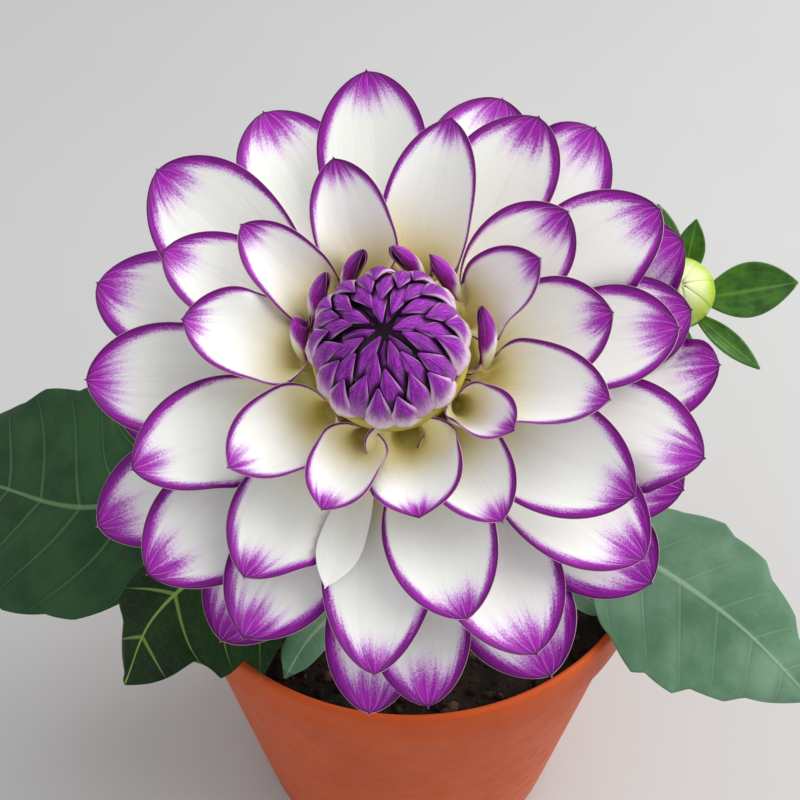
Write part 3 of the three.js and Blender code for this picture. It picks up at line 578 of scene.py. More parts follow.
def petal_form(whorl, azimuth, reach, height, half, opened, curl, turn, seed):
    """Middle surface of one petal. Its middle line is a parabola from root to tip in the upright
    plane at its azimuth. Each cross-section is an arc that starts as an almost closed roll and
    opens to a shallow dish. The width swells past half way and closes as a blunt ellipse that
    ends in a small point. Returns the grid, the flattened x and y, and the shares s and t."""
    w = WHORLS[whorl]
    small = whorl in ("floret", "slip")
    u = np.linspace(0, 1, 30 if small else 48)
    s = (1 - (1 - u) ** 1.35)[:, None]
    v = np.linspace(-1, 1, 25 if small else 33)
    t = (0.6 * v + 0.4 * np.sin(np.pi / 2 * v))[None, :]
    (root_out, root_high), (rise_out, rise_high) = w["root"], w["control"]
    rise_high += 0.7 * (height - w["level"])
    out = bow(s, root_out, rise_out, reach)
    high = bow(s, root_high, rise_high, height)
    d_out = (1 - s) * (rise_out - root_out) + s * (reach - rise_out)
    d_high = (1 - s) * (rise_high - root_high) + s * (height - rise_high)
    length = np.hypot(d_out, d_high)
    widest = w["widest"]
    past = np.clip((s - widest) / (1 - widest), 0, 1)
    swell = 3 / half + (1 - 3 / half) * ease(s / widest)
    taper = (1 - np.minimum(past / 0.98, 1) ** 2.1) ** (1.0 if whorl == "slip" else 0.62)
    taper = np.maximum(taper, 0.06 * np.clip((1 - past) / 0.1, 0, 1))
    width = np.maximum(half * np.where(s < widest, swell, taper), 0.12)
    closed = np.maximum(np.pi * (1 - 0.55 / np.maximum(width, 0.6)), 0.3)
    opening = (1 - np.clip((s - opened) / max(0.66 - opened, 0.1), 0, 1)) ** 4
    flat = ease((s - 0.66) / 0.34)
    roll = np.minimum(curl + (closed - curl) * opening, closed)
    roll = roll + (w["tip_curl"] - roll) * flat
    radius = width / roll
    r, q = facing(azimuth + turn * (s - 1))
    up = np.array([0.0, 0.0, 1.0])
    tangent = (r * d_out[..., None] + up * d_high[..., None]) / length[..., None]
    bank = -np.radians(w["bank"])
    q = q * np.cos(bank) + np.cross(tangent, q) * np.sin(bank)
    normal = np.cross(q, tangent)
    line = r * out[..., None] + up * high[..., None]
    bend = roll * t
    middle = line + q * (radius * np.sin(bend))[..., None]
    wave = 0.35 * np.sin(5.5 * s + 2.2 * t + seed) * t * t * ease(s / 0.6)
    groove = -0.22 * np.exp(-((t / 0.09) ** 2)) * ease(s / 0.5) * (1 - past)
    lift = radius * (1 - np.cos(bend)) + (wave + groove) * (half / 18)
    middle = middle + normal * lift[..., None]
    distance = walked(line[:, 0])
    x = t * width
    y = np.repeat(distance[:, None], x.shape[1], 1)
    return middle, x, y, s, t


def nested(forms):
    """Petals laid over each other like tiles, topmost first. Each one's lowest height over every
    square millimetre of the bloom's plane is kept, and every later petal is pressed down to lie
    under it. The press is spread to its neighbours so that it fades out smoothly."""
    below = np.full((BLOOM_CELLS, BLOOM_CELLS), 1e9)

    def cells(points):
        at = np.rint(points[..., :2]).astype(int) + BLOOM_CELLS // 2
        at = np.clip(at, 1, BLOOM_CELLS - 2)
        return at[..., 0], at[..., 1]

    made = []
    for middle, *rest in forms:
        i, j = cells(middle)
        over = np.stack([below[i + a, j + b] for a in (-1, 0, 1) for b in (-1, 0, 1)]).min(0)
        away = ease((np.hypot(middle[..., 0], middle[..., 1]) - 20) / 8)
        need = np.where(over < 1e8, np.maximum(middle[..., 2] - over + PETAL_APART, 0), 0) * away
        press = need.copy()
        for _ in range(10):
            wide = np.pad(press, 1, mode="edge")
            soft = (wide[:-2, 1:-1] + wide[2:, 1:-1] + wide[1:-1, :-2] + wide[1:-1, 2:]) / 4
            press = np.maximum(need, 0.97 * soft)
        middle = middle - np.array([0, 0, 1.0]) * press[..., None]
        made.append((middle, *rest))
        fine = middle
        for axis in (0, 1):
            fine = np.moveaxis(fine, axis, 0)
            halves = [fine[:-1] + (fine[1:] - fine[:-1]) * k / 3 for k in range(3)]
            fine = np.concatenate([np.stack(halves, 1).reshape(-1, *fine.shape[1:]), fine[-1:]])
            fine = np.moveaxis(fine, 0, axis)
        i, j = cells(fine)
        np.minimum.at(below, (i.ravel(), j.ravel()), fine[..., 2].ravel())
    return made


def petal_blade(middle, x, y, s, t, seed):
    """A petal's closed blade, thinner to its margin and tip. Each point carries its shares across
    and along, and how far in millimetres it lies from the margin and from the tip when flat."""
    flat = np.stack([x, y], -1)
    edge = np.concatenate([flat[:, -1], flat[::-1, 0]])
    start, step = edge[:-1], np.diff(edge, axis=0)
    here = flat.reshape(-1, 1, 2)
    share = np.clip(((here - start) * step).sum(-1) / np.maximum((step**2).sum(-1), 1e-9), 0, 1)
    margin = np.linalg.norm(here - start - share[..., None] * step, axis=-1).min(1).reshape(x.shape)
    tip = np.hypot(x, y.max() - y)
    thick = PETAL_HALF * (1 - 0.45 * np.abs(t) ** 4) * (1 - 0.35 * ease((s - 0.85) / 0.15))
    points, faces, spread = slab(middle, thick, across=t, along=s, margin=margin, tip=tip, seed=seed)
    # The rim strip gets a margin below zero, so petal_skin paints it pale pink as a painted highlight
    # on the edge.
    spread["margin"][2 * x.size :] = RIM_MARGIN
    return points, faces, spread


def lengthwise(across, along, seed, count, stretch, detail, roughness=0.55):
    """Noise drawn out along a blade, by how many times it changes across and along."""
    inputs = {"X": across * count, "Y": along * stretch, "Z": seed}
    vector = add_node(seed.tree, "CombineXYZ", inputs).outputs[0]
    return noise(Tone(seed.tree, vector), 1.0, detail, roughness)


def purple_feather():
    """Shared effect: how purple a petal is. Depth from the margin in millimetres, and from the
    tip, is measured against a reach that grows towards the tip, and is feathered by streaks that
    run lengthwise and converge at the tip."""
    group = bpy.data.node_groups.new("purple_feather", "ShaderNodeTree")
    takes = ("Across", "Along", "Margin", "Tip", "Seed", "Reach", "Tip Reach")
    for name in takes:
        group.interface.new_socket(name, in_out="INPUT", socket_type="NodeSocketFloat")
    for name in ("Purple", "Streak", "Fine"):
        group.interface.new_socket(name, in_out="OUTPUT", socket_type="NodeSocketFloat")
    given = group.nodes.new("NodeGroupInput").outputs
    across, along, margin, tip, seed, reach, tip_reach = (Tone(group, given[name]) for name in takes)
    blade = (across, along, seed * 7.31)
    streak = lengthwise(*blade, 6.0, 2.0, 1.0, 0.6)
    fine = lengthwise(*blade, 18.0, 9.0, 2.0, 0.6)
    speck = lengthwise(*blade, 60.0, 150.0, 1.0, 0.6)
    depth = margin / (reach * along.over(0.3, 0.95, 0.12, 1))
    depth = depth.maths("MINIMUM", tip / tip_reach + 0.05)
    blur = (streak - 0.5) * 0.6 + (fine - 0.5) * 0.35
    soft = (depth + blur).over(-0.15, 1.4, 1, 0)
    dots = (soft + (speck - 0.5) * 1.3).over(0.2, 0.8)
    result = group.nodes.new("NodeGroupOutput").inputs
    for name, tone in (("Purple", soft * 0.7 + dots * 0.3), ("Streak", streak), ("Fine", fine)):
        group.links.new(tone.socket, result[name])
    return group


feather = purple_feather()


def petal_skin(name, reach, tip_reach, throat, purple_share=1.0):
    """Petal: white with a cream throat whose dark olive root is partly painted shade, purple
    feathered in from the margin, a thin dark line just inside the margin as painted shade of
    the edge, a pale pink rim as a painted highlight on the edge, and fine lengthwise veins in
    colour and relief, with grey streaks of painted shade along the creases."""
    material = new_material(
        name, roughness=0.55, specular_ior_level=0.25, sheen_weight=0.05, sheen_roughness=0.5,
        subsurface_weight=0.12, subsurface_radius=(0.9, 0.7, 0.8), subsurface_scale=0.0015,
    )
    names = ("Across", "Along", "Margin", "Tip", "Seed")
    tones = attributes_of(material, *(name.lower() for name in names))
    across, along, margin, tip, _ = tones
    tree = material.node_tree
    inputs = dict(zip(names, tones)) | {"Reach": reach, "Tip Reach": tip_reach}
    group = add_node(tree, "Group", inputs, node_tree=feather)
    purple, streak, fine = (Tone(tree, group.outputs[key]) for key in ("Purple", "Streak", "Fine"))

    white = along.over(throat, throat + 0.28).mix((0.74, 0.62, 0.20), (0.90, 0.86, 0.64))
    white = along.over(throat + 0.15, throat + 0.42).mix(white, (0.90, 0.91, 0.86))
    # Dark olive at the very root: partly the petal's own green base, partly painted shade deep in the
    # throat.
    white = along.over(0, throat, 0.85, 0).mix(white, (0.30, 0.26, 0.03))
    # Grey streaks where the lengthwise relief is low: painted shade in the petal's faint creases.
    white = streak.over(0.30, 0.5, 0.12, 0).mix(white, (0.74, 0.73, 0.70))
    deep = fine.over(0.3, 0.7).mix((0.15, 0.001, 0.19), (0.40, 0.006, 0.43))
    deep = margin.over(0.6, 5.0, 0, 0.5).mix(deep, (0.44, 0.02, 0.52))
    deep = margin.over(0.3, 1.8, 0.7, 0).mix(deep, (0.13, 0.001, 0.16))
    ribs = abs((across * 9.42).maths("SINE")).over(0, 0.15, 1, 0)
    deep = (ribs * tip.over(1, 11.0, 0.8, 0)).mix(deep, (0.72, 0.36, 0.72))
    share = purple * purple_share
    colour = share.over(0, 0.55).mix(white, (0.70, 0.42, 0.80))
    colour = share.over(0.2, 0.8).mix(colour, deep)
    # A thin dark line just inside the margin: painted shade of the petal's edge.
    line = margin.over(0.15, 0.6, 1, 0) * purple_share
    colour = (line * 0.9).mix(colour, (0.09, 0.002, 0.08))
    # The pale pink rim: a painted highlight on the edge's thickness.
    rim = margin.over(-0.2, -0.02, 1, 0) * 0.75
    colour = rim.mix(colour, (0.92, 0.50, 0.72))
    return painted(material, colour, fine + streak * 1.2, 0.22, 0.0004)


skins = {
    "inner": petal_skin("petal_inner", 2.8, 9.0, 0.36),
    "middle": petal_skin("petal_middle", 3.8, 11.5, 0.2),
    "outer": petal_skin("petal_outer", 4.4, 14.0, 0.12),
    "back": petal_skin("petal_back", 5.0, 15.0, 0.10),
    "floret": petal_skin("petal_floret", 14.0, 12.0, 0.12),
    "slip": petal_skin("petal_plain", 1.0, 1.0, 0.1, purple_share=0.0),
}
RECEPTACLE = [
    (0, -35), (5, -34.9), (10, -34.4), (15, -33.5), (20, -32), (25, -29.9), (29.0, -27.2),
    (30.7, -25), (31, -22.5), (29.8, -19.4), (27.5, -16.5), (24, -12.8), (21.5, -11), (16, -14),
    (0, -17),
]
rows = [(whorl, row + USUAL[whorl][len(row) - 4 :]) for whorl in PETALS for row in PETALS[whorl]]
seeds = [1.7 * number for number in range(len(rows))]
forms = nested([petal_form(whorl, *row, seed) for (whorl, row), seed in zip(rows, seeds)])
by_whorl = {}
for (whorl, _), form, seed in zip(rows, forms, seeds):
    by_whorl.setdefault(whorl, []).append(petal_blade(*form, seed))
for whorl, parts in by_whorl.items():
    points, faces, spread = joined(parts)
    piece = make_piece("petals_" + whorl, leaned(points, *BLOOM), faces, skins[whorl], spread)
    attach(piece, "root")
    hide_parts("bloom_petals")

points, faces = turned(RECEPTACLE, around=72)
olive = green_flesh("receptacle", (0.42, 0.36, 0.06), (0.52, 0.46, 0.12), (0.36, 0.34, 0.08), 2.0)
receptacle = make_piece("receptacle", leaned(points, *BLOOM), faces, olive)
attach(receptacle, "root")
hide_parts("bloom_petals")

# Heart
# The button of closed scales at the middle of the bloom: keeled violet scales that lap over each
# other in rows and lean in to a small dark hollow, with pale margins and yellow-green bases.
HEART_RADIUS = 18.8
HEART_SCALES = 40
INNER_SCALES = 9
GOLDEN_TURN = 137.5
SHADE_REACH = 2.1
SCALE_GRID = (26, 19)
BUTTON = [
    (0, -18.8), (5, -18.1), (9.4, -16.3), (13.2, -13.4), (16.3, -9.4), (18.5, -6.6), (19.9, -4.2),
    (20.3, -1), (20.0, 2), (18.6, 4.6), (17, 8), (15.2, 11.1), (12.2, 14.3), (8.6, 16.7), (5, 18.1),
    (2.5, 18.6), (0, 18.8),
]


def scale_place(k):
    """Azimuth, polar angles of base and tip, half width and lift of scale k, counted from the
    outermost: each stands a golden turn on from the last, nearer the top, smaller and lower."""
    outward = ((HEART_SCALES - 0.4 - k) / (HEART_SCALES - 0.4)) ** 0.72
    tip = 44 * outward + 1.5 * math.sin(2.3 * k) + 1.5
    base = min(tip + 36 + 6 * outward, 80)
    half = (3.2 + 2.1 * outward) * (1 + 0.07 * math.sin(4.1 * k))
    return GOLDEN_TURN * k + 20, base, tip, half, 1.5 + 1.7 * outward


def on_ball(azimuth, polar, across):
    """Directions on a ball: at an azimuth and polar angles, turned sideways by the angle across."""
    out, side = facing(azimuth)
    way = out * np.sin(polar)[..., None] + np.array([0, 0, 1]) * np.cos(polar)[..., None]
    return way * np.cos(across)[..., None] + side * np.sin(across)[..., None]


def heart_scale(azimuth, base, tip, half, lift, seed):
    """One scale on the ball: a grid of polar angles from base to tip and of shares across, with a
    rounded keel along its middle that rises off the ball towards the tip. Returns its points,
    faces and attributes, and the line of its margin."""
    u, t = shares(*SCALE_GRID)
    width = np.maximum(half * (1 - u**1.45) ** 0.9 * (0.9 + 0.1 * ease(u / 0.3)), 0.1)
    foot = 0.9 * (1 - ease(u / 0.25)) * ease((base - 70) / 10)
    high = HEART_RADIUS + 0.35 + lift * ease(1.15 * u) + foot
    keel = 0.3 * width * (1 - np.abs(t) ** 1.5) - 0.3 * np.abs(t) ** 3
    ripple = 0.08 * np.sin(11 * t + seed) * (1 - u)
    twist = 0.2 * half * u**2 * np.sin(seed)
    way = on_ball(azimuth, np.radians(base + (tip - base) * u), (t * width + twist) / high)
    middle = way * (high + keel + ripple)[..., None]
    low = (base - 50) / 36
    blade = slab(middle[:, ::-1], 0.22, across=t[:, ::-1], along=u, seed=seed, low=low)
    return *blade, np.concatenate([middle[:, 0], middle[::-1, -1]])


def shade_under(points, margins):
    """How deep each point lies in the shade of a scale's margin: 1 at a margin that stands higher
    than the point, fading to 0 at SHADE_REACH from it, measured along the ball."""
    high = np.linalg.norm(points, axis=-1)
    way = points / high[:, None]
    shade = np.zeros(len(points))
    for margin in margins:
        top = np.linalg.norm(margin, axis=-1)
        apart = HEART_RADIUS * np.linalg.norm(way[:, None] - (margin / top[:, None])[None], axis=-1)
        over = ease((top[None] - high[:, None] - 0.1) / 0.5)
        shade = np.maximum(shade, (over * np.clip(1 - apart / SHADE_REACH, 0, 1)).max(1))
    return shade


def scale_skin():
    """Scale: violet with pale lengthwise veins and pale flecks that are partly painted highlights,
    pinkish white margins, a pale striped base that turns yellow-green where the next row covers
    it, and dark where a neighbour shades it."""
    material = new_material(
        "heart_violet", roughness=0.4, specular_ior_level=0.12,
        subsurface_weight=0.06, subsurface_scale=0.001,
    )
    names = ("across", "along", "seed", "low", "shade")
    across, along, seed, low, shade = attributes_of(material, *names)
    blade = (across, along, seed * 5.3)
    broad = lengthwise(*blade, 3.0, 1.5, 3)
    fine = lengthwise(*blade, 14.0, 4.0, 3)
    speck = lengthwise(*blade, 40.0, 26.0, 3)
    violet = fine.over(0.36, 0.66).mix((0.075, 0.0005, 0.12), (0.46, 0.024, 0.60))
    violet = broad.over(0.45, 0.7, 0, 0.6).mix(violet, (0.09, 0.0005, 0.13))
    # Pale flecks: partly the scales' own pale streaks, partly brightened as painted highlights.
    violet = speck.over(0.5, 0.8, 0, 0.5).mix(violet, (0.78, 0.38, 0.86))
    low = low.over(0.55, 0.83, 0.12, 1)
    pale = (along + (fine - 0.5) * 0.9).over(0, 0.62, 1, 0) * low
    colour = pale.mix(violet, (0.78, 0.62, 0.74))
    edge = abs(across)
    edge = (edge.over(0.6, 1) * low).maths("MAXIMUM", edge.over(0.8, 1, 0, 0.85))
    edge = edge * along.over(0.45, 1, 0.95, 0.4)
    colour = edge.mix(colour, (0.80, 0.60, 0.74))
    colour = shade.over(0.08, 0.8, 0, 0.97).mix(colour, (0.03, 0.001, 0.035))
    root = along.over(0, 0.1, 1, 0) * low
    colour = root.mix(colour, (0.46, 0.42, 0.10))
    return painted(material, colour, fine + speck, 0.3, 0.0004)


def hollow_skin():
    """The ball under the scales: yellow-green low down, near black maroon towards the hollow as
    painted shade in the hollow and the gaps between the scales.
    """
    material = new_material("heart_core", roughness=0.6)
    (up,) = attributes_of(material, "up")
    mottle = noise(place_of(material), 500, 3)
    olive = mottle.mix((0.46, 0.38, 0.04), (0.62, 0.52, 0.10))
    # Near black towards the top: painted shade for the hollow and the gaps between the scales.
    colour = up.over(0.10, 0.26).mix(olive, (0.03, 0.002, 0.03))
    return painted(material, colour, mottle, 0.3, 0.0005)


made = [heart_scale(*scale_place(k), 2.1 * k) for k in range(HEART_SCALES)]
for k in range(INNER_SCALES):
    made.append(heart_scale(40 * k + 12, 30, 6 + 2 * (k % 3), 2.5, 0.5, 1.3 * k))
points, faces, spread = joined([part[:3] for part in made])
spread["shade"] = shade_under(points, [part[3] for part in made])
scales = make_piece("heart_scales", leaned(points, *BLOOM), faces, scale_skin(), spread)
points, faces = turned(BUTTON, around=64)
hollow = 5.0 * np.exp(-((np.hypot(points[:, 0], points[:, 1]) / 8) ** 2)) * (points[:, 2] > 0)
points[:, 2] -= hollow
up = {"up": points[:, 2] / HEART_RADIUS}
core = make_piece("heart_core", leaned(points, *BLOOM), faces, hollow_skin(), up)
for piece in (scales, core):
    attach(piece, "root")
    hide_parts("bloom_heart")

# Side bud
# A closed bud on a thin side stem: a ball of cream-green scales wrapped over each other, held in
# a green cup with leafy bracts spread out below it.
BUD_CENTRE = np.array([82.9, 11.2, 233.9])
BUD_AXIS = unit(np.array([-0.2, -0.6, 0.775]))
BUD = (BUD_CENTRE, BUD_AXIS, np.array([1.0, 0, 0]))
BUD_RADIUS = 10.2
BUD_STEM_RADIUS = 1.7
BUD_SCALES = 8
BUD_STEM_PATH = [
    (4.1, 2.4, 150), (20, 12, 162), (50, 25, 178), (80, 33, 196),
    tuple(BUD_CENTRE - 26 * BUD_AXIS), tuple(BUD_CENTRE - 15.85 * BUD_AXIS),
]
# Azimuth, reach and height of the tip, and half width.
BUD_BRACTS = [
    (349, 30, -5, 4.5), (14, 24, -3, 4.5), (87, 35, -2, 8.5), (135, 33, -8, 3.4), (180, 37, -9, 5.5),
]
BUD_CUP = [
    (0, -15.5), (1.5, -15.45), (3, -15.2), (5, -14), (7.5, -12.4), (9, -10.6), (10.1, -8.8),
    (9.6, -7.9), (8.74, -7.05), (7.6, -8.2), (6.2, -9.35), (3.2, -10.75), (0, -11.2),
]


def bud_scale(turn, base, seed):
    """One closed scale of the bud: a wide pointed cap on the ball, from the cup to past the top,
    standing a little prouder along its middle and at one edge."""
    u, t = shares(*SCALE_GRID)
    half = np.maximum(6.6 * np.maximum(1 - u**1.8, 0) ** 0.8, 0.15)
    way = on_ball(turn, np.radians(base + (6 - base) * u), t * half / BUD_RADIUS)
    high = BUD_RADIUS + 0.02 + 0.26 * (1 - t**2) + 0.22 * t
    middle = way * (high + 0 * u)[..., None]
    return slab(middle[:, ::-1], 0.12, across=t[:, ::-1], along=u, seed=seed)


def bud_skin():
    """Bud scale: yellow-green at the base, cream at the top, with fine lengthwise veins."""
    material = new_material(
        "bud_cream", roughness=0.35, subsurface_weight=0.15, subsurface_scale=0.002
    )
    across, along, seed = attributes_of(material, "across", "along", "seed")
    fine = lengthwise(across, along, seed, 12.0, 2.0, 3)
    cream = fine.mix((0.74, 0.76, 0.34), (0.86, 0.86, 0.54))
    green = fine.mix((0.30, 0.44, 0.02), (0.50, 0.62, 0.05))
    colour = along.over(0.4, 0.95).mix(green, cream)
    colour = abs(across).over(0.75, 1, 0, 0.35).mix(colour, (0.42, 0.54, 0.08))
    return painted(material, colour, fine, 0.25, 0.0004)


parts = [bud_scale(360 / BUD_SCALES * k, 112, 1.3 * k) for k in range(BUD_SCALES)]
lat = np.linspace(0, np.pi, 30)
points, faces = turned((BUD_RADIUS - 0.1) * np.stack([np.sin(lat), -np.cos(lat)], -1), 48)
parts.append((points, faces, {"across": 0.0, "along": 0.5 + points[:, 2] / 24, "seed": 3.0}))
points, faces, spread = joined(parts)
bud = make_piece("bud_scales", leaned(points, *BUD), faces, bud_skin(), spread)
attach(bud, "root")
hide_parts("bud_ball")

parts = [ribbed_cup(BUD_CUP, around=48, ribs=8, along=0.25)]
for azimuth, reach, height, half in BUD_BRACTS:
    parts.append(bract(azimuth, (7, -12.2), (0.55 * reach, -10), (reach, height), half, azimuth))
points, faces, spread = joined(parts)
bud_green = leafy("bud_green", (0.022, 0.10, 0.008), (0.07, 0.22, 0.018), (0.17, 0.34, 0.05))
bud_calyx = make_piece("calyx_of_bud", leaned(points, *BUD), faces, bud_green, spread)
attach(bud_calyx, "root")
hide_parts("bud_calyx")

points, faces = tube(BUD_STEM_PATH, BUD_STEM_RADIUS, rows=80, around=20)
bud_stem = make_piece("stem_of_bud", points, faces, stem_green)
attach(bud_stem, "root")
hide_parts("bud_stem")

# Leaves
# Broad toothed leaves on short stalks: a pale midrib, side veins that curve out to the
# teeth, and a blade that swells softly between them. Two small young leaves rise from the compost.
YOUNG = dict(
    start=0.4, half=8, teeth=2, depth=0.1, lift=0.1, wave=0.3, rows=70, cols=31, skin="leaf_sage"
)
LEAVES = {
    "leaf_left": dict(
        path=[(-4.4, 0.6, 150), (-48, -4, 172), (-107, -14, 161), (-149, 8, 147), (-184, 30, 130)],
        side=(0.12, 0.92, 0.38), start=0.3, half=45, teeth=6, depth=0.035, lift=-0.12, wave=2,
        rows=190, cols=91, skin="leaf_dark", halves=(0.84, 1),
    ),
    "leaf_right": dict(
        path=[(3.9, -2, 152), (44, -24, 172), (77, -43, 167), (103, -58, 156), (127, -73, 137)],
        side=(-0.31, -0.76, -0.58), start=0.36, half=31, teeth=5, depth=0.04, lift=-0.08, wave=1.5,
        rows=150, cols=71, skin="leaf_sage", halves=(0.74, 1),
    ),
    "leaf_front_left": dict(
        path=[(-3.4, -3.2, 148), (-36, -26, 167), (-63, -46, 170), (-80, -60, 162), (-89, -73, 146)],
        side=(-0.5, 0.75, 0.42), start=0.2, half=34, teeth=4, depth=0.09, lift=-0.06, wave=1.6,
        rows=150, cols=71, skin="leaf_glossy", halves=(1, 0.45),
    ),
    "leaf_back_right": dict(
        path=[(2.2, 3.9, 140), (22, 38, 158), (40, 66, 163), (54, 90, 156), (64, 112, 140)],
        side=(0.86, -0.5, 0.05), start=0.26, half=31, teeth=5, depth=0.1, lift=-0.08, wave=1.6,
        rows=140, cols=61, skin="leaf_dark",
    ),
    "leaf_small_front": dict(
        path=[(-22, -40, 124), (-22, -40, 135), (-26, -49, 147), (-33, -61, 151), (-39, -73, 149.5)],
        side=(-0.9, 0.42, 0.1), **YOUNG,
    ),
    "leaf_small_right": dict(
        path=[(38, -24, 124), (38, -24, 135), (46, -32, 146), (56, -42, 150), (64, -50, 149.5)],
        side=(-0.7, -0.7, 0), **YOUNG,
    ),
}


def leaf(path, side, start, half, teeth, depth, lift, wave, rows, cols, skin, halves=(1, 1)):
    """One leaf. A smooth midrib carries a blade whose half width is a skewed sine of the share of
    the blade, narrower on one side where halves says so. The margin is a slanted saw: it moves out
    and forward towards each tooth's tip. The blade sinks to its edges, waves along them, and
    swells between the side veins."""
    s, t = shares(rows, cols)
    s = s[:, 0]
    middle = through(path, s)
    tangent = unit(np.gradient(middle, axis=0))
    lean = unit(np.array(side, float))
    right = unit(lean - (tangent @ lean)[:, None] * tangent)
    normal = unit(np.cross(right, tangent))
    x = np.clip((s - start) / (1 - start), 0, 1)
    form = np.maximum(np.sin(np.pi * x**0.75), 0) ** 0.8
    width = np.maximum(half * form, np.where(x > 0.9, 0.35, 1.5))[:, None]
    wide = ease((half * form - 2.0) / 4.0)[:, None]
    turns = np.sort([0, *(np.arange(teeth) + 0.1), *(np.arange(teeth) + 0.75), teeth])
    saw = np.interp(x * teeth, turns, [0, *([-1, 1] * teeth), 0])
    saw = (saw * ease((1 - x) / 0.2))[:, None]
    rim = np.abs(t) ** 6
    out = t * width * (1 + wide * saw * depth * rim) * np.where(t > 0, halves[1], halves[0])
    ahead = 17.6 * wide * saw * depth * rim
    distance = walked(middle)
    y = distance[:, None] + ahead
    blade = (1 - start) * distance[-1]
    spacing = blade / (teeth + 2.0)
    reach = np.abs(out)
    phase = (y - start * distance[-1] - 0.62 * reach - 0.004 * reach**2) / spacing
    swell = np.cos(2 * np.pi * phase) * -0.35 * np.clip(reach / 9, 0, 1) * (1 - 0.5 * np.abs(t) ** 4)
    dent = -0.7 * np.exp(-((out / 1.7) ** 2)) * wide
    rise = wide * (lift * np.abs(out) + wave * t * t * np.sin(9 * s[:, None] + 2 * t))
    rise = rise + wide * swell * (half / 40) + dent
    grid = middle[:, None] + right[:, None] * out[..., None]
    grid = grid + normal[:, None] * rise[..., None] + tangent[:, None] * ahead[..., None]
    stalk = (1 - wide) * (x < 0.5)[:, None]
    thick = 0.22 + 0.9 * np.exp(-((out / 1.3) ** 2)) * (1 - 0.6 * x[:, None])
    round_stalk = np.sqrt(np.maximum(1.5**2 - np.minimum(np.abs(out), 1.45) ** 2, 0.02))
    thick = thick * wide + stalk * round_stalk
    thick = thick * (1 - 0.5 * np.abs(t) ** 8 * wide)
    read = {"out": out, "phase": phase, "blade": wide, "edge": np.abs(t), "along": x[:, None]}
    points, faces, spread = slab(grid, thick, **read)
    spread["side"] = np.repeat([1, -1, 0], [out.size, out.size, len(points) - 2 * out.size])
    return points, faces, spread


def leaf_skin(name, dark, light, vein, gloss, contrast):
    """Leaf blade: two greens mottled together, pale midrib and side veins drawn where the vein
    count is whole, a dark band of painted shade along each side vein, a faint net of small veins
    between, and relief to match."""
    material = new_material(name, roughness=gloss, specular_ior_level=0.16)
    names = ("out", "phase", "blade", "edge", "along", "side")
    out, phase, blade, edge, along, side = attributes_of(material, *names)
    where = place_of(material)
    broad = noise(where, 45, 4)
    fine = noise(where, 420, 4)
    inputs = {"Vector": where, "Scale": 330.0}
    cells = add_node(where.tree, "TexVoronoi", inputs, feature="DISTANCE_TO_EDGE")
    small = Tone(where.tree, cells.outputs["Distance"]).over(0, 0.09, 1, 0)
    near = phase.maths("PINGPONG", 0.5)
    side_vein = (near / edge.over(0, 1, 0.06, 0.018)).over(0.3, 1, 1, 0)
    side_vein = side_vein * edge.over(0.7, 1, 1, 0.25)
    rib = (abs(out) / along.over(0, 1, 1.5, 0.4)).over(0.45, 1, 1, 0)
    stalk = blade.maths("MULTIPLY_ADD", -1.0, 1.0) * along.over(0.2, 0.5, 1, 0)
    colour = broad.over(0.35, 0.68).mix(dark, light)
    colour = fine.over(0.5, 0.75, 0, 0.25).mix(colour, light)
    # Darker green in a band along each side vein: painted shade in the grooves beside the veins.
    colour = near.over(0, 0.22, 0.35, 0).mix(colour, dark)
    veins = (small * (0.05 * contrast), side_vein * contrast, rib * min(1.0, contrast + 0.4), stalk)
    for share in veins:
        colour = share.mix(colour, vein)
    colour = side.over(-0.9, -0.2, 0.45, 0).mix(colour, (0.22, 0.32, 0.17))
    relief = fine * 0.25 - side_vein * 0.6 - small * 0.06
    rough = broad.over(0.3, 0.7, gloss - 0.05, gloss + 0.08)
    return painted(material, colour, relief, 0.4, 0.0006, rough)


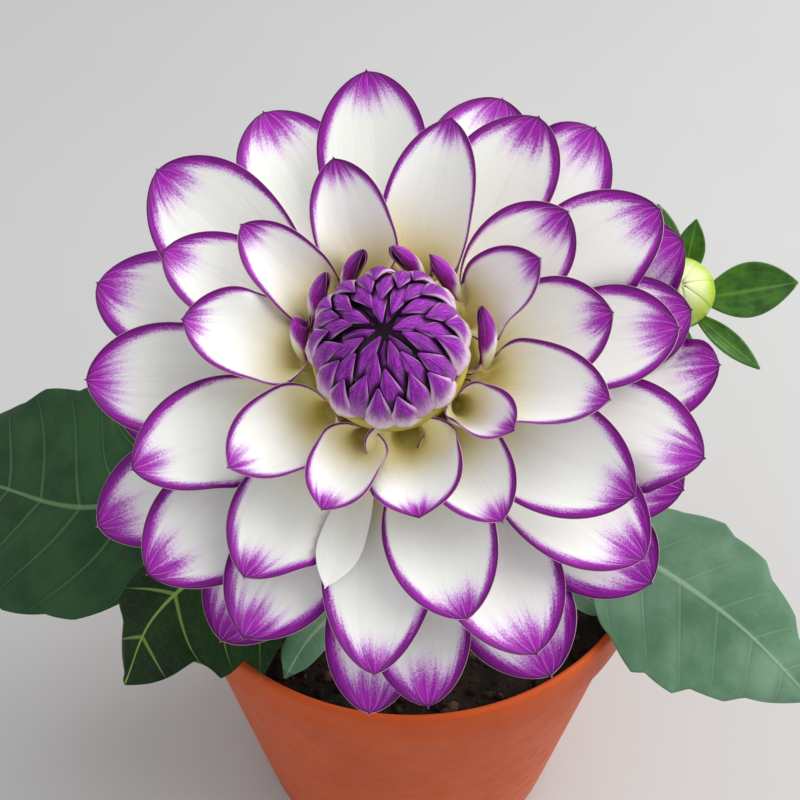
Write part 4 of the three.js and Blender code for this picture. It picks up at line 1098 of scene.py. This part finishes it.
# Dark, light and vein colour, roughness, and how far the veins stand out.
LEAF_LOOKS = {
    "leaf_dark": ((0.010, 0.042, 0.013), (0.026, 0.080, 0.026), (0.15, 0.25, 0.11), 0.5, 0.3),
    "leaf_sage": ((0.080, 0.175, 0.098), (0.155, 0.27, 0.178), (0.34, 0.46, 0.31), 0.55, 0.12),
    "leaf_glossy": ((0.003, 0.014, 0.002), (0.010, 0.038, 0.006), (0.20, 0.33, 0.07), 0.4, 0.7),
}
leaf_skins = {name: leaf_skin(name, *look) for name, look in LEAF_LOOKS.items()}
for node, form in LEAVES.items():
    points, faces, spread = leaf(**form)
    piece = make_piece(node + "_blade", points, faces, leaf_skins[form["skin"]], spread)
    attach(piece, "root")
    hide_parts(node)

# Floor, light and camera
# A plain pale floor, broad soft light from the upper right with a weak fill from the left, and
# the camera above the front of the pot, looking down at 45 degrees.
bpy.ops.mesh.primitive_plane_add(size=8.0, location=(0, 0, 0))
floor = bpy.context.object
floor.name = "floor"
pale = new_material("floor_pale", roughness=0.8)
tone = noise(place_of(pale), 3, 4).mix((0.50, 0.50, 0.50), (0.55, 0.55, 0.545))
floor.data.materials.append(painted(pale, tone))


def soft_light(name, place, aim, size, power, colour):
    """A square area light that points from place to aim."""
    data = bpy.data.lights.new(name, "AREA")
    data.size = size
    data.energy = power
    data.color = colour
    light = bpy.data.objects.new(name, data)
    bpy.context.scene.collection.objects.link(light)
    light.location = place
    way = np.array(aim, float) - np.array(place, float)
    flat = math.hypot(way[0], way[1])
    light.rotation_euler = (math.atan2(flat, -way[2]), 0, math.atan2(way[1], way[0]) - math.pi / 2)


KEY_AIM = (0, -0.03, 0.22)
FILL_AIM = (0, -0.03, 0.2)
soft_light("key", (1.05, 0.1, 1.25), KEY_AIM, size=1.7, power=28, colour=(1.0, 0.99, 0.97))
soft_light("fill", (-0.9, -0.9, 0.9), FILL_AIM, size=1.2, power=1.5, colour=(0.93, 0.96, 1.0))
world = bpy.data.worlds.new("studio")
world.use_nodes = True
sky = world.node_tree.nodes["Background"].inputs
sky["Color"].default_value = (0.97, 0.985, 1.0, 1)
sky["Strength"].default_value = 0.68
bpy.context.scene.world = world
bpy.context.scene.view_settings.view_transform = "Standard"

camera_data = bpy.data.cameras.new("camera")
camera_data.sensor_width = 36
camera_data.lens = 54
camera_data.clip_start = 0.01
camera = bpy.data.objects.new("camera", camera_data)
bpy.context.scene.collection.objects.link(camera)
camera.location = (-0.0034, -0.2740, 0.4720)
camera.rotation_euler = (math.radians(45), 0, 0)
bpy.context.scene.camera = camera
